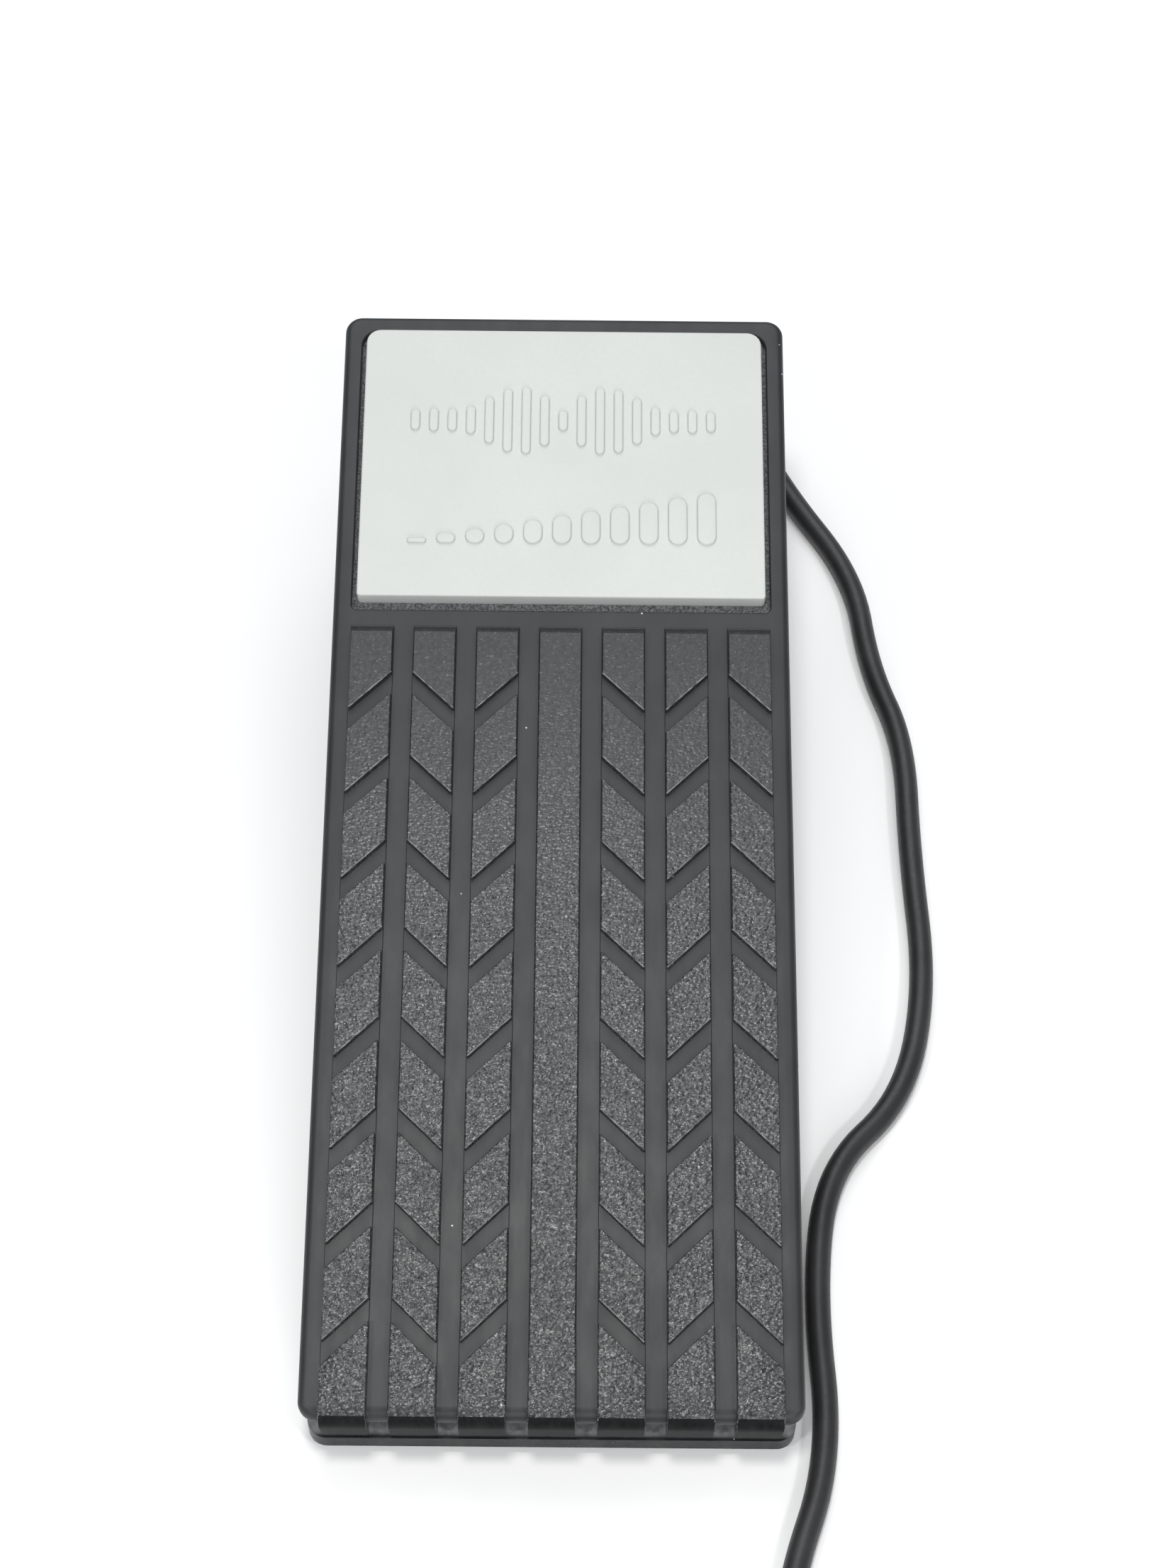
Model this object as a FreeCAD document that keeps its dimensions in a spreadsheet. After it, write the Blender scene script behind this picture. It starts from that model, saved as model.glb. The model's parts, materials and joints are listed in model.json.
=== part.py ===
import FreeCAD, Part

import math
import os
import re

import Sketcher
from FreeCAD import Placement, Rotation, Vector

# Volume pedal, in millimetres.
#
# Frame: +Z up, the ground at z = 0, +Y towards the toe end and +X towards the right-hand side.
# The origin is on the ground, under the middle of the pedal.
#
# The treadle is drawn in its own frame, whose origin is the pivot axis: +Y runs along the tread to the
# toe and +Z stands square on it. tilt_with_treadle() puts what is drawn there in place, heel down.

DOC = FreeCAD.newDocument("volume_pedal")
SHEET = DOC.addObject("Spreadsheet::Sheet", "sizes")

# ---------------------------------------------------------------- driving dimensions

SIZES = [
    # base
    ("base_wide", 92.0, "width of the base"),
    ("base_heel", 120.0, "from the pivot back to the heel end of the base"),
    ("base_toe", 122.0, "from the pivot forward to the toe end of the base"),
    ("base_corner", 3.6, "corner radius of the base, seen from above"),
    ("edge_chamfer", 1.2, "chamfer round the lower edge of the base"),
    ("shell_wall", 2.5, "wall of the base shell"),
    ("deck_thick", 2.5, "thickness of the sloping top of the base"),
    ("deck_rise", 2.65, "height of the sloping top over the pivot axis, square to the slope"),
    ("window_long", 140.0, "length of the opening in the top of the base"),
    ("foot_tall", 2.0, "height of a rubber foot, and of the base over the ground"),
    ("foot_radius", 7.0, "radius of a rubber foot"),
    ("foot_in", 13.0, "from the side of the base to a foot's middle"),
    ("foot_end", 35.0, "from an end of the base to a foot's middle"),
    ("cover_thick", 1.5, "thickness of the bottom cover"),
    ("cover_gap", 0.2, "gap between the bottom cover and the wall"),
    ("boss_radius", 3.5, "radius of a screw boss"),
    ("boss_in", 7.0, "from the inside of a side wall to a corner boss"),
    ("boss_end", 19.0, "from an end of the base to its bosses"),
    ("screw_radius", 1.5, "radius of a screw's thread"),
    ("screw_head", 3.0, "radius of a screw's head"),
    ("screw_long", 5.0, "length of a screw beyond the bottom cover"),
    ("pan_head", 2.7, "radius of a small pan head"),
    ("pan_tall", 1.7, "height of a small pan head"),
    ("slot_wide", 0.8, "width of a screw's slot"),
    # pivot
    ("pivot_tall", 30.0, "height of the pivot axis over the ground"),
    ("shaft_radius", 3.0, "radius of the pivot shaft"),
    ("shaft_gap", 0.05, "running clearance of a shaft in its bush, on the radius"),
    ("shaft_end_gap", 0.3, "from the end of the pivot shaft to the wall"),
    ("bush_radius", 5.0, "outer radius of a pivot bush"),
    ("flange_radius", 7.0, "radius of a bush's flange"),
    ("flange_thick", 1.0, "thickness of a bush's flange"),
    ("post_thick", 5.0, "thickness of a bearing post, along the pivot axis"),
    ("post_half", 8.0, "half the width of a bearing post"),
    ("lug_thick", 5.2, "thickness of a lug of the treadle, along the pivot axis"),
    ("lug_half", 8.0, "half the width of a lug, and its reach round the pivot axis"),
    ("side_gap", 0.3, "gap between moving faces side by side"),
    ("clip_thick", 0.8, "thickness of a shaft clip"),
    ("clip_radius", 5.0, "outer radius of a shaft clip"),
    ("clip_groove", 2.5, "radius of the shaft inside its clip"),
    ("rest_tilt", 12.0, "slope of the treadle with the heel down, degrees"),
    ("toe_tilt", 8.0, "slope of the treadle with the toe down, degrees"),
    # treadle
    ("treadle_wide", 94.0, "width of the treadle"),
    ("treadle_back", 120.6, "from the pivot to the heel edge, along the treadle"),
    ("treadle_ahead", 114.4, "from the pivot to the toe edge, along the treadle"),
    ("top_rise", 14.4, "from the pivot axis up to the smooth top of the treadle"),
    ("plate_thick", 3.0, "thickness of the treadle's top"),
    ("skirt_deep", 10.5, "depth of the treadle's skirt under its smooth top"),
    ("skirt_thick", 2.5, "thickness of the treadle's skirt"),
    ("heel_inset", 4.0, "from the heel edge to the wall behind the tread's claws"),
    ("toe_corner", 4.0, "corner radius at the toe, seen from above"),
    ("heel_corner", 4.5, "corner radius at the heel, seen from above"),
    ("edge_round", 0.8, "rounding of the treadle's top edges"),
    # tread
    ("band_wide", 8.9, "width of a band of the tread"),
    ("band_border", 3.94, "from the side of the treadle to the outer bands"),
    ("band_rise", 2.0, "height of the bands over the smooth top"),
    ("band_short", 5.9, "from the toe end of the bands to the badge plate"),
    ("band_slope", 1.8, "length of the sloping toe end of a band"),
    ("claw_out", 1.4, "how far the bands stand out at the heel"),
    ("claw_deep", 9.3, "how far down the heel the bands reach"),
    ("claw_round", 4.0, "rounding of the bands over the heel"),
    ("notch_first", 15.8, "from the heel edge to the first row of slanting grooves"),
    ("notch_pitch", 18.28, "from one row of slanting grooves to the next"),
    ("notch_long", 4.2, "width of a slanting groove, along the treadle"),
    ("notch_climb", 8.5, "rise of a slanting groove over one band, along the treadle"),
    # badge
    ("badge_side", 4.9, "from the side of the treadle to the badge plate"),
    ("badge_toe", 4.7, "from the toe edge of the treadle to the badge plate"),
    ("badge_long", 63.1, "length of the badge plate"),
    ("badge_thick", 3.7, "thickness of the badge plate"),
    ("badge_corner", 3.0, "corner radius of the badge plate"),
    ("pocket_deep", 1.5, "depth of the badge pocket"),
    ("pocket_side", 1.1, "gap beside the badge plate"),
    ("pocket_near", 2.2, "gap at the heel side of the badge plate"),
    ("pocket_far", 0.9, "gap at the toe side of the badge plate"),
    ("relief_rise", 0.7, "height of the raised ornament over the badge plate"),
    ("relief_in", 9.0, "from the side of the badge plate to the ornament"),
    ("wave_along", 41.0, "from the near edge of the badge plate to the middle of the wave"),
    ("wave_tall", 19.0, "height of the wave's longest bar"),
    ("ramp_along", 12.0, "from the near edge of the badge plate to the ramp's base line"),
    ("ramp_tall", 12.0, "height of the ramp's last bar"),
    # stops
    ("stop_in", 14.4, "from the shortest overhang to the far edge of a stop pad"),
    ("stop_long", 12.0, "length of a stop pad"),
    ("stop_half", 10.0, "half the width of a stop pad"),
    ("stop_thick", 3.0, "thickness of a stop pad"),
    ("stop_gap", 0.3, "gap left between a stop pad and its rib"),
    ("rib_aside", 24.0, "from the middle to a long rib"),
    ("rib_thick", 1.8, "thickness of a long rib"),
    ("rib_deep", 3.0, "depth of a long rib"),
    ("rib_short", 4.0, "gap along the treadle between a long rib and the stop ribs"),
    # gears
    ("tooth_module", 1.0, "module of the gears"),
    ("sector_teeth", 64.0, "teeth of a whole gear of the sector's radius"),
    ("pinion_teeth", 12.0, "teeth of the pinion"),
    ("mesh_gap", 0.15, "added to the gears' centre distance"),
    ("mesh_angle", 10.0, "from level down to the pinion, seen from the pivot, degrees"),
    ("sector_low", 30.0, "lower end of the sector, degrees under the treadle's line"),
    ("sector_high", 6.0, "upper end of the sector, degrees over the treadle's line"),
    ("sector_bore", 22.0, "inner radius of the sector"),
    ("sector_left", -3.0, "left face of the sector"),
    ("sector_thick", 5.0, "thickness of the sector"),
    ("sector_foot", 3.0, "thickness of the sector's foot and of its pad"),
    ("seat_left", -10.0, "left edge of the sector's foot"),
    ("seat_right", 7.0, "right edge of the sector's foot"),
    ("seat_near", 8.0, "from the pivot to the near edge of the sector's foot"),
    ("seat_far", 27.0, "from the pivot to the far edge of the sector's foot"),
    ("seat_screw", 4.0, "from an end of the sector's foot to its screw"),
    ("sector_thread", 4.0, "how far the sector's screws reach into the treadle"),
    ("pinion_left", -4.0, "left face of the pinion"),
    ("pinion_long", 7.0, "length of the pinion"),
    # potentiometers
    ("pot_radius", 8.5, "radius of the potentiometer"),
    ("pot_deep", 9.0, "depth of the potentiometer"),
    ("pot_face", 9.5, "from the middle to the potentiometer's face"),
    ("pot_shaft", 3.0, "radius of the potentiometer's shaft"),
    ("pot_neck", 3.9, "radius of the potentiometer's threaded neck"),
    ("bracket_thick", 1.5, "thickness of the bracket's sheet"),
    ("bracket_half", 8.0, "half the width of the bracket"),
    ("bracket_reach", 12.5, "from the potentiometer's face to the end of the bracket's foot"),
    ("nut_thick", 2.2, "thickness of a potentiometer's nut"),
    ("nut_flats", 11.0, "width of a potentiometer's nut across its flats"),
    ("washer_thick", 0.6, "thickness of the potentiometer's washer"),
    ("knob_ahead", 35.0, "from the pivot forward to the level knob"),
    ("knob_tall", 15.2, "height of the level knob's axis"),
    ("knob_radius", 6.5, "radius of the level knob"),
    ("knob_long", 5.9, "length of the level knob"),
    ("recess_radius", 9.5, "radius of the level knob's recess"),
    ("recess_deep", 8.0, "depth of the level knob's recess"),
    ("recess_wall", 1.5, "wall round the recess"),
    ("recess_floor", 2.0, "thickness of the recess's floor"),
    # solder board
    ("board_left", -30.0, "left edge of the solder board"),
    ("board_right", -2.0, "right edge of the solder board"),
    ("board_near", 78.0, "from the pivot to the near edge of the solder board"),
    ("board_wide", 16.0, "width of the solder board"),
    ("board_tall", 3.0, "height of the solder board over the bottom cover"),
    ("board_thick", 1.6, "thickness of the solder board"),
    ("board_screw", 4.0, "from an end of the solder board to its screw"),
    ("spacer_radius", 2.8, "outer radius of the solder board's spacers"),
    ("wire_radius", 0.6, "radius of an inner wire"),
    # cord
    ("cord_radius", 2.5, "radius of the cord"),
    ("cord_aside", -5.0, "from the middle to the cord's way out"),
    ("cord_tall", 9.0, "height of the cord's way out"),
    ("gland_long", 16.0, "length of the cord's strain relief outside the wall"),
    ("gland_wide", 4.6, "radius of the strain relief at the wall"),
    ("gland_narrow", 3.2, "radius of the strain relief in the wall and at its end"),
    ("gland_collar", 4.2, "radius of the strain relief's collar inside the wall"),
    ("coil_turns_across", 4.0, "turns beside each other in the coil"),
    ("coil_layers", 2.0, "turns on each other in the coil"),
    ("coil_outer", 37.5, "outer radius of the coil"),
    ("plug_grip", 6.9, "radius of the plug's grip"),
    ("plug_pin", 3.175, "radius of the plug's pin"),
]
NAMES = {name for name, size, meaning in SIZES}

for row, (name, size, meaning) in enumerate(SIZES, start=1):
    SHEET.set(f"A{row}", name)
    SHEET.set(f"B{row}", str(size))
    SHEET.set(f"C{row}", meaning)
    SHEET.setAlias(f"B{row}", name)
DOC.recompute()


def full(text):
    """The expression with every size written as a cell of the sheet."""
    return re.sub(r"[a-z_]+", lambda word: f"sizes.{word[0]}" if word[0] in NAMES else word[0], str(text))


def size(text):
    """The number that an expression stands for."""
    return float(SHEET.evalExpression(full(text)))


def bind(thing, **properties):
    """Bind properties to expressions. A double underscore in a name stands for a dot."""
    for name, text in properties.items():
        thing.setExpression(name.replace("__", "."), full(text))


# ---------------------------------------------------------------- shared ways of making a piece

ALONG_X = Rotation(Vector(0, 1, 0), 90)
AGAINST_X = Rotation(Vector(0, 1, 0), -90)
ALONG_Y = Rotation(Vector(1, 0, 0), -90)
ALONG_Z = Rotation()


def box(name, x, y, z):
    """A block between pairs of expressions."""
    block = DOC.addObject("Part::Box", name)
    bind(block, Length=f"({x[1]}) - ({x[0]})", Width=f"({y[1]}) - ({y[0]})", Height=f"({z[1]}) - ({z[0]})")
    bind(block, Placement__Base__x=x[0], Placement__Base__y=y[0], Placement__Base__z=z[0])
    return block


def round_bar(name, turn, x, y, z, radius, length, narrow=None):
    """A cylinder, or a cone that ends in the radius narrow, which starts at x, y, z."""
    if narrow is None:
        bar = DOC.addObject("Part::Cylinder", name)
        bind(bar, Radius=radius, Height=length)
    else:
        bar = DOC.addObject("Part::Cone", name)
        bind(bar, Radius1=radius, Radius2=narrow, Height=length)
    # a cylinder's own axis is Z
    bar.Placement = Placement(Vector(), turn)
    bind(bar, Placement__Base__x=x, Placement__Base__y=y, Placement__Base__z=z)
    return bar


def hex_bar(name, x, y, z, flats, length):
    """A six-sided prism along X."""
    bar = DOC.addObject("Part::Prism", name)
    bar.Polygon = 6
    bind(bar, Circumradius=f"({flats}) / 2 / cos(30)", Height=length)
    bar.Placement = Placement(Vector(), ALONG_X)
    bind(bar, Placement__Base__x=x, Placement__Base__y=y, Placement__Base__z=z)
    return bar


def fuse(name, *shapes):
    joined = DOC.addObject("Part::MultiFuse", name)
    joined.Shapes = list(shapes)
    joined.Refine = True
    return joined


def cut(name, base, *tools):
    carved = DOC.addObject("Part::Cut", name)
    carved.Base = base
    carved.Tool = tools[0] if len(tools) == 1 else fuse(f"{name}_tools", *tools)
    return carved


def group(name, *pieces):
    """Several pieces in one node."""
    together = DOC.addObject("Part::Compound", name)
    together.Links = list(pieces)
    return together


def tilt_with_treadle(piece, angle="rest_tilt"):
    """Put what is drawn in the treadle's frame in its place."""
    piece.Placement = Placement(Vector(), Rotation(Vector(1, 0, 0), 1))
    bind(piece, Placement__Rotation__Angle=angle, Placement__Base__z="pivot_tall")
    return piece


def body(name):
    return DOC.addObject("PartDesign::Body", name)


def sketch(owner, role, name, away="0"):
    """An empty sketch on one of the body's own origin planes, moved away along the plane's normal."""
    drawing = owner.newObject("Sketcher::SketchObject", name)
    plane = [part for part in owner.Origin.OriginFeatures if part.Role == role][0]
    drawing.AttachmentSupport = [(plane, "")]
    drawing.MapMode = "FlatFace"
    bind(drawing, AttachmentOffset__Base__z=away)
    return drawing


def draw_outline(drawing, corners):
    """A closed outline of straight lines through corners, each a pair of expressions."""
    first = drawing.GeometryCount
    points = [Vector(size(across), size(up), 0) for across, up in corners]
    count = len(points)
    for index in range(count):
        drawing.addGeometry(Part.LineSegment(points[index], points[(index + 1) % count]), False)
    for index in range(count):
        following = first + (index + 1) % count
        drawing.addConstraint(Sketcher.Constraint("Coincident", first + index, 2, following, 1))
    for index, (across, up) in enumerate(corners):
        line = first + index
        bind_point(drawing, "DistanceX", line, points[index].x, across)
        bind_point(drawing, "DistanceY", line, points[index].y, up)


def bind_point(drawing, kind, line, number, text):
    """Bind one coordinate of a line's start to an expression."""
    constraint = drawing.addConstraint(Sketcher.Constraint(kind, -1, 1, line, 1, number))
    name = f"{kind}_{line}"
    drawing.renameConstraint(constraint, name)
    drawing.setExpression(f"Constraints.{name}", full(text))


def draw_rectangle(drawing, across, up):
    draw_outline(drawing, [(across[0], up[0]), (across[1], up[0]), (across[1], up[1]), (across[0], up[1])])


def draw_circle(drawing, across, up, radius):
    centre = Vector(size(across), size(up), 0)
    line = drawing.addGeometry(Part.Circle(centre, Vector(0, 0, 1), size(radius)), False)
    for kind, number, text in (("DistanceX", centre.x, across), ("DistanceY", centre.y, up)):
        constraint = drawing.addConstraint(Sketcher.Constraint(kind, -1, 1, line, 3, number))
        drawing.renameConstraint(constraint, f"{kind}_{line}")
        drawing.setExpression(f"Constraints.{kind}_{line}", full(text))
    constraint = drawing.addConstraint(Sketcher.Constraint("Radius", line, size(radius)))
    drawing.renameConstraint(constraint, f"Radius_{line}")
    drawing.setExpression(f"Constraints.Radius_{line}", full(radius))


def feature(owner, kind, drawing, length=None, both=False, turned=False):
    """A Pad or Pocket of a sketch. With both it reaches to each side; a Pocket with no length goes through."""
    made = owner.newObject(f"PartDesign::{kind}", f"{drawing.Name}_{kind.lower()}")
    made.Profile = drawing
    made.SideType = "Symmetric" if both else "One side"
    made.Reversed = turned
    if length is None:
        made.Type = "ThroughAll"
    else:
        bind(made, Length=length)
    DOC.recompute()
    drawing.Visibility = False
    return made


def pad(owner, drawing, length, both=False, turned=False):
    before = solid_volume(owner)
    made = feature(owner, "Pad", drawing, length, both, turned)
    assert solid_volume(owner) > before, f"{made.Name} adds nothing"
    return made


def pocket(owner, drawing, length=None, both=False, turned=False):
    before = solid_volume(owner)
    made = feature(owner, "Pocket", drawing, length, both, turned)
    assert solid_volume(owner) < before, f"{made.Name} cuts nothing"
    return made


def solid_volume(owner):
    return 0.0 if owner.Shape.isNull() else owner.Shape.Volume


def mirror(owner, made):
    """The feature's mirror image in the body's YZ plane."""
    image = owner.newObject("PartDesign::Mirrored", f"{made.Name}_mirror")
    image.Originals = [made]
    plane = [part for part in owner.Origin.OriginFeatures if part.Role == "YZ_Plane"][0]
    image.MirrorPlane = (plane, [""])
    owner.Tip = image
    DOC.recompute()
    return image


def round_edges(owner, name, kind, amount, wanted):
    """A Fillet or Chamfer of the edges that wanted(edge) picks."""
    tip = owner.Tip
    names = [f"Edge{index}" for index, edge in enumerate(tip.Shape.Edges, start=1) if wanted(edge)]
    made = owner.newObject(f"PartDesign::{kind}", name)
    made.Base = (tip, names)
    bind(made, **{"Radius" if kind == "Fillet" else "Size": amount})
    DOC.recompute()
    return made


def near(number, text, reach=0.02):
    return abs(number - size(text)) < reach


def upright(edge):
    """Whether an edge is a straight line along the body's Z."""
    box_size = edge.BoundBox
    return box_size.XLength < 0.01 and box_size.YLength < 0.01 and box_size.ZLength > 0.1


# ---------------------------------------------------------------- base

INNER_HALF = "(base_wide / 2 - shell_wall)"
COVER_TOP = "(foot_tall + cover_thick)"
POST_INNER = f"({INNER_HALF} - post_thick)"
LUG_INNER = f"({POST_INNER} - flange_thick - side_gap - lug_thick)"
BOSS_ASIDE = f"({INNER_HALF} - boss_in)"
SCREW_PLACES = [
    (across, along)
    for along in ("-base_heel + boss_end", "base_toe - boss_end")
    for across in (f"-{BOSS_ASIDE}", "0", BOSS_ASIDE)
]
STOP_FAR = "(min(base_heel; base_toe; treadle_back; treadle_ahead) - stop_in)"
STOP_NEAR = f"({STOP_FAR} - stop_long)"


def slope(away, rise, tilt):
    """The height of a slope of the base, away from the pivot and a rise square over its axis."""
    return f"pivot_tall + ({rise}) / cos({tilt}) - ({away}) * tan({tilt})"


def crest(rise):
    """Where the slopes at a rise over the pivot axis meet, near the pivot: y and z."""
    y = f"({rise}) * (1 / cos(toe_tilt) - 1 / cos(rest_tilt)) / (tan(rest_tilt) + tan(toe_tilt))"
    return y, slope(y, rise, "toe_tilt")


def base_shell():
    """The moulded trough: it slopes down from the pivot to both ends, and is open below."""
    shell = body("base_shell")
    outline = sketch(shell, "XY_Plane", "base_outline", "foot_tall")
    draw_rectangle(outline, ("-base_wide / 2", "base_wide / 2"), ("-base_heel", "base_toe"))
    pad(shell, outline, "pivot_tall + deck_rise")
    round_edges(shell, "base_corners", "Fillet", "base_corner", upright)
    round_edges(shell, "base_lower_edge", "Chamfer", "edge_chamfer",
                lambda edge: near(edge.BoundBox.ZMax, "foot_tall"))

    hollow = sketch(shell, "YZ_Plane", "base_hollow")
    inner_rise = "deck_rise - deck_thick"
    draw_outline(hollow, [
        ("-base_heel + shell_wall", "0"),
        ("base_toe - shell_wall", "0"),
        ("base_toe - shell_wall", slope("base_toe - shell_wall", inner_rise, "toe_tilt")),
        crest(inner_rise),
        ("-base_heel + shell_wall", slope("base_heel - shell_wall", inner_rise, "rest_tilt")),
    ])
    pocket(shell, hollow, "base_wide - 2 * shell_wall", both=True)

    bosses = sketch(shell, "XY_Plane", "screw_bosses", COVER_TOP)
    for across, along in SCREW_PLACES:
        draw_circle(bosses, across, along, "boss_radius")
    pad(shell, bosses, f"pivot_tall - {COVER_TOP}")

    above = sketch(shell, "YZ_Plane", "over_the_slopes")
    over = "2 * pivot_tall"
    draw_outline(above, [
        ("-base_heel - shell_wall", slope("base_heel + shell_wall", "deck_rise", "rest_tilt")),
        crest("deck_rise"),
        ("base_toe + shell_wall", slope("base_toe + shell_wall", "deck_rise", "toe_tilt")),
        ("base_toe + shell_wall", over),
        ("-base_heel - shell_wall", over),
    ])
    pocket(shell, above, "2 * base_wide", both=True)

    threads = sketch(shell, "XY_Plane", "screw_holes", "foot_tall")
    for across, along in SCREW_PLACES:
        draw_circle(threads, across, along, "screw_radius")
    pocket(shell, threads, "cover_thick + screw_long + side_gap", turned=True)

    window = sketch(shell, "XY_Plane", "window", "2 * pivot_tall")
    draw_rectangle(window, (f"-{POST_INNER}", POST_INNER), ("-window_long / 2", "window_long / 2"))
    pocket(shell, window)

    post = sketch(shell, "YZ_Plane", "bearing_post", POST_INNER)
    draw_outline(post, [
        ("-post_half", COVER_TOP), ("post_half", COVER_TOP), ("post_half", "pivot_tall + post_half / 3"),
        ("post_half / 2", "pivot_tall + post_half"), ("-post_half / 2", "pivot_tall + post_half"),
        ("-post_half", "pivot_tall + post_half / 3"),
    ])
    mirror(shell, pad(shell, post, "post_thick"))
    bearing = sketch(shell, "YZ_Plane", "bearing_holes")
    draw_circle(bearing, "0", "pivot_tall", "bush_radius")
    pocket(shell, bearing, f"2 * {INNER_HALF}", both=True)

    cup = sketch(shell, "YZ_Plane", "recess_cup", "-base_wide / 2 + edge_chamfer")
    draw_circle(cup, "knob_ahead", "knob_tall", "recess_radius + recess_wall")
    pad(shell, cup, "recess_deep + recess_floor - edge_chamfer")
    recess = sketch(shell, "YZ_Plane", "recess", "-base_wide / 2")
    draw_circle(recess, "knob_ahead", "knob_tall", "recess_radius")
    pocket(shell, recess, "recess_deep", turned=True)
    neck = sketch(shell, "YZ_Plane", "level_neck_hole", "-base_wide / 2")
    draw_circle(neck, "knob_ahead", "knob_tall", "pot_neck")
    pocket(shell, neck, "2 * (recess_deep + recess_floor)", turned=True)

    way_out = sketch(shell, "XZ_Plane", "cord_hole", "-base_toe - shell_wall")
    draw_circle(way_out, "cord_aside", "cord_tall", "gland_narrow")
    pocket(shell, way_out, "3 * shell_wall", turned=True)
    return shell


def bottom_cover():
    """The sheet that closes the trough, with its countersunk holes."""
    half = f"({INNER_HALF} - cover_gap)"
    back = "(base_heel - shell_wall - cover_gap)"
    ahead = "(base_toe - shell_wall - cover_gap)"
    sheet = box("cover_sheet", (f"-{half}", half), (f"-{back}", ahead), ("foot_tall", COVER_TOP))
    holes = [
        round_bar("countersink", ALONG_Z, x, y, "foot_tall", "screw_head", "cover_thick", narrow="screw_radius")
        for x, y in SCREW_PLACES
    ]
    return cut("bottom_cover", sheet, *holes)


def cover_screws():
    screws = []
    for x, y in SCREW_PLACES:
        head = round_bar("head", ALONG_Z, x, y, "foot_tall", "screw_head", "cover_thick", narrow="screw_radius")
        thread = round_bar("thread", ALONG_Z, x, y, COVER_TOP, "screw_radius", "screw_long")
        slot = box("slot", (f"{x} - screw_head * 0.6", f"{x} + screw_head * 0.6"),
                   (f"{y} - slot_wide / 2", f"{y} + slot_wide / 2"), ("foot_tall", "foot_tall + cover_thick / 3"))
        screws.append(cut("screw", fuse("screw_blank", head, thread), slot))
    return group("cover_screws", *screws)


def feet():
    """Four rubber feet, each with a narrower step where it touches the ground."""
    left, right = "-base_wide / 2 + foot_in", "base_wide / 2 - foot_in"
    heel, toe = "-base_heel + foot_end", "base_toe - foot_end"
    places = {
        "foot_heel_left": (left, heel), "foot_heel_right": (right, heel),
        "foot_toe_left": (left, toe), "foot_toe_right": (right, toe),
    }
    made = []
    for name, (x, y) in places.items():
        upper = round_bar("foot_disc", ALONG_Z, x, y, "foot_tall / 2", "foot_radius", "foot_tall / 2")
        lower = round_bar("foot_step", ALONG_Z, x, y, "0", "foot_radius * 0.85", "foot_tall / 2",
                          narrow="foot_radius")
        made.append(fuse(name, upper, lower))
    return made


def bushes():
    """Flanged plain bushes: the sleeve fills the post's hole, the flange faces the treadle's lug."""
    made = []
    right_starts = (POST_INNER, f"{POST_INNER} - flange_thick", f"{POST_INNER} - flange_thick - 1")
    left_starts = (f"-{INNER_HALF}", f"-{POST_INNER}", f"-{INNER_HALF} - 1")
    for name, starts in (("bush_left", left_starts), ("bush_right", right_starts)):
        sleeve_start, flange_start, bore_start = starts
        sleeve = round_bar("sleeve", ALONG_X, sleeve_start, "0", "pivot_tall", "bush_radius", "post_thick")
        flange = round_bar("flange", ALONG_X, flange_start, "0", "pivot_tall", "flange_radius", "flange_thick")
        bore = round_bar("bore", ALONG_X, bore_start, "0", "pivot_tall", "shaft_radius + shaft_gap",
                         "post_thick + flange_thick + 2")
        made.append(cut(name, fuse(f"{name}_blank", sleeve, flange), bore))
    return made


def stop_pads():
    """Rubber pads on the slopes of the base: the treadle's ribs come down on them."""
    heights = ("deck_rise", "deck_rise + stop_thick")
    across = ("-stop_half", "stop_half")
    heel = box("heel_pad", across, (f"-{STOP_FAR}", f"-{STOP_NEAR}"), heights)
    toe = box("toe_pad", across, (STOP_NEAR, STOP_FAR), heights)
    return [
        tilt_with_treadle(group("heel_stop_pad", heel)),
        tilt_with_treadle(group("toe_stop_pad", toe), "-toe_tilt"),
    ]


# ---------------------------------------------------------------- gears and potentiometers

CENTRES = "(tooth_module * (sector_teeth + pinion_teeth) / 2 + mesh_gap)"
PINION_Y = f"({CENTRES} * cos(mesh_angle))"
PINION_Z = f"(pivot_tall - {CENTRES} * sin(mesh_angle))"
PRESSURE_ANGLE = math.radians(20)
# in modules: how far teeth stand out of the pitch circle and reach into it, and what is off each flank
TIP_SECTOR, TIP_PINION, ROOT_DEPTH, FLANK_PLAY = 0.75, 0.85, 1.15, 0.05
FLANK_STEPS = 6
SECTOR_SCREW_X = "((seat_left + sector_left) / 2 - 0.3)"
SECTOR_SCREWS = [(SECTOR_SCREW_X, "(seat_near + seat_screw)"), (SECTOR_SCREW_X, "(seat_far - seat_screw)")]


def gear_outline(teeth, module, tip, facing):
    """The outline of a gear with involute flanks; a tooth's middle points at the angle facing, in radians."""
    pitch = teeth * module / 2
    base = pitch * math.cos(PRESSURE_ANGLE)
    root = pitch - ROOT_DEPTH * module
    outer = pitch + tip * module
    play = FLANK_PLAY * module / pitch

    def flank(radius):
        """Half the tooth's angle at a radius."""
        angle = math.acos(min(1.0, base / radius))
        at_pitch = math.tan(PRESSURE_ANGLE) - PRESSURE_ANGLE
        return math.pi / (2 * teeth) - play + at_pitch - (math.tan(angle) - angle)

    start = max(base, root)
    radii = [start + (outer - start) * step / FLANK_STEPS for step in range(FLANK_STEPS + 1)]
    points = []
    for tooth in range(int(teeth)):
        middle = facing + 2 * math.pi * tooth / teeth
        rising = [(root, -flank(start))] if root < start else []
        rising += [(radius, -flank(radius)) for radius in radii]
        points += [(radius, middle + angle) for radius, angle in rising]
        points += [(radius, middle - angle) for radius, angle in reversed(rising)]
    corners = [Vector(0, radius * math.cos(angle), radius * math.sin(angle)) for radius, angle in points]
    return Part.Wire(Part.makePolygon(corners + corners[:1]).Edges)


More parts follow.
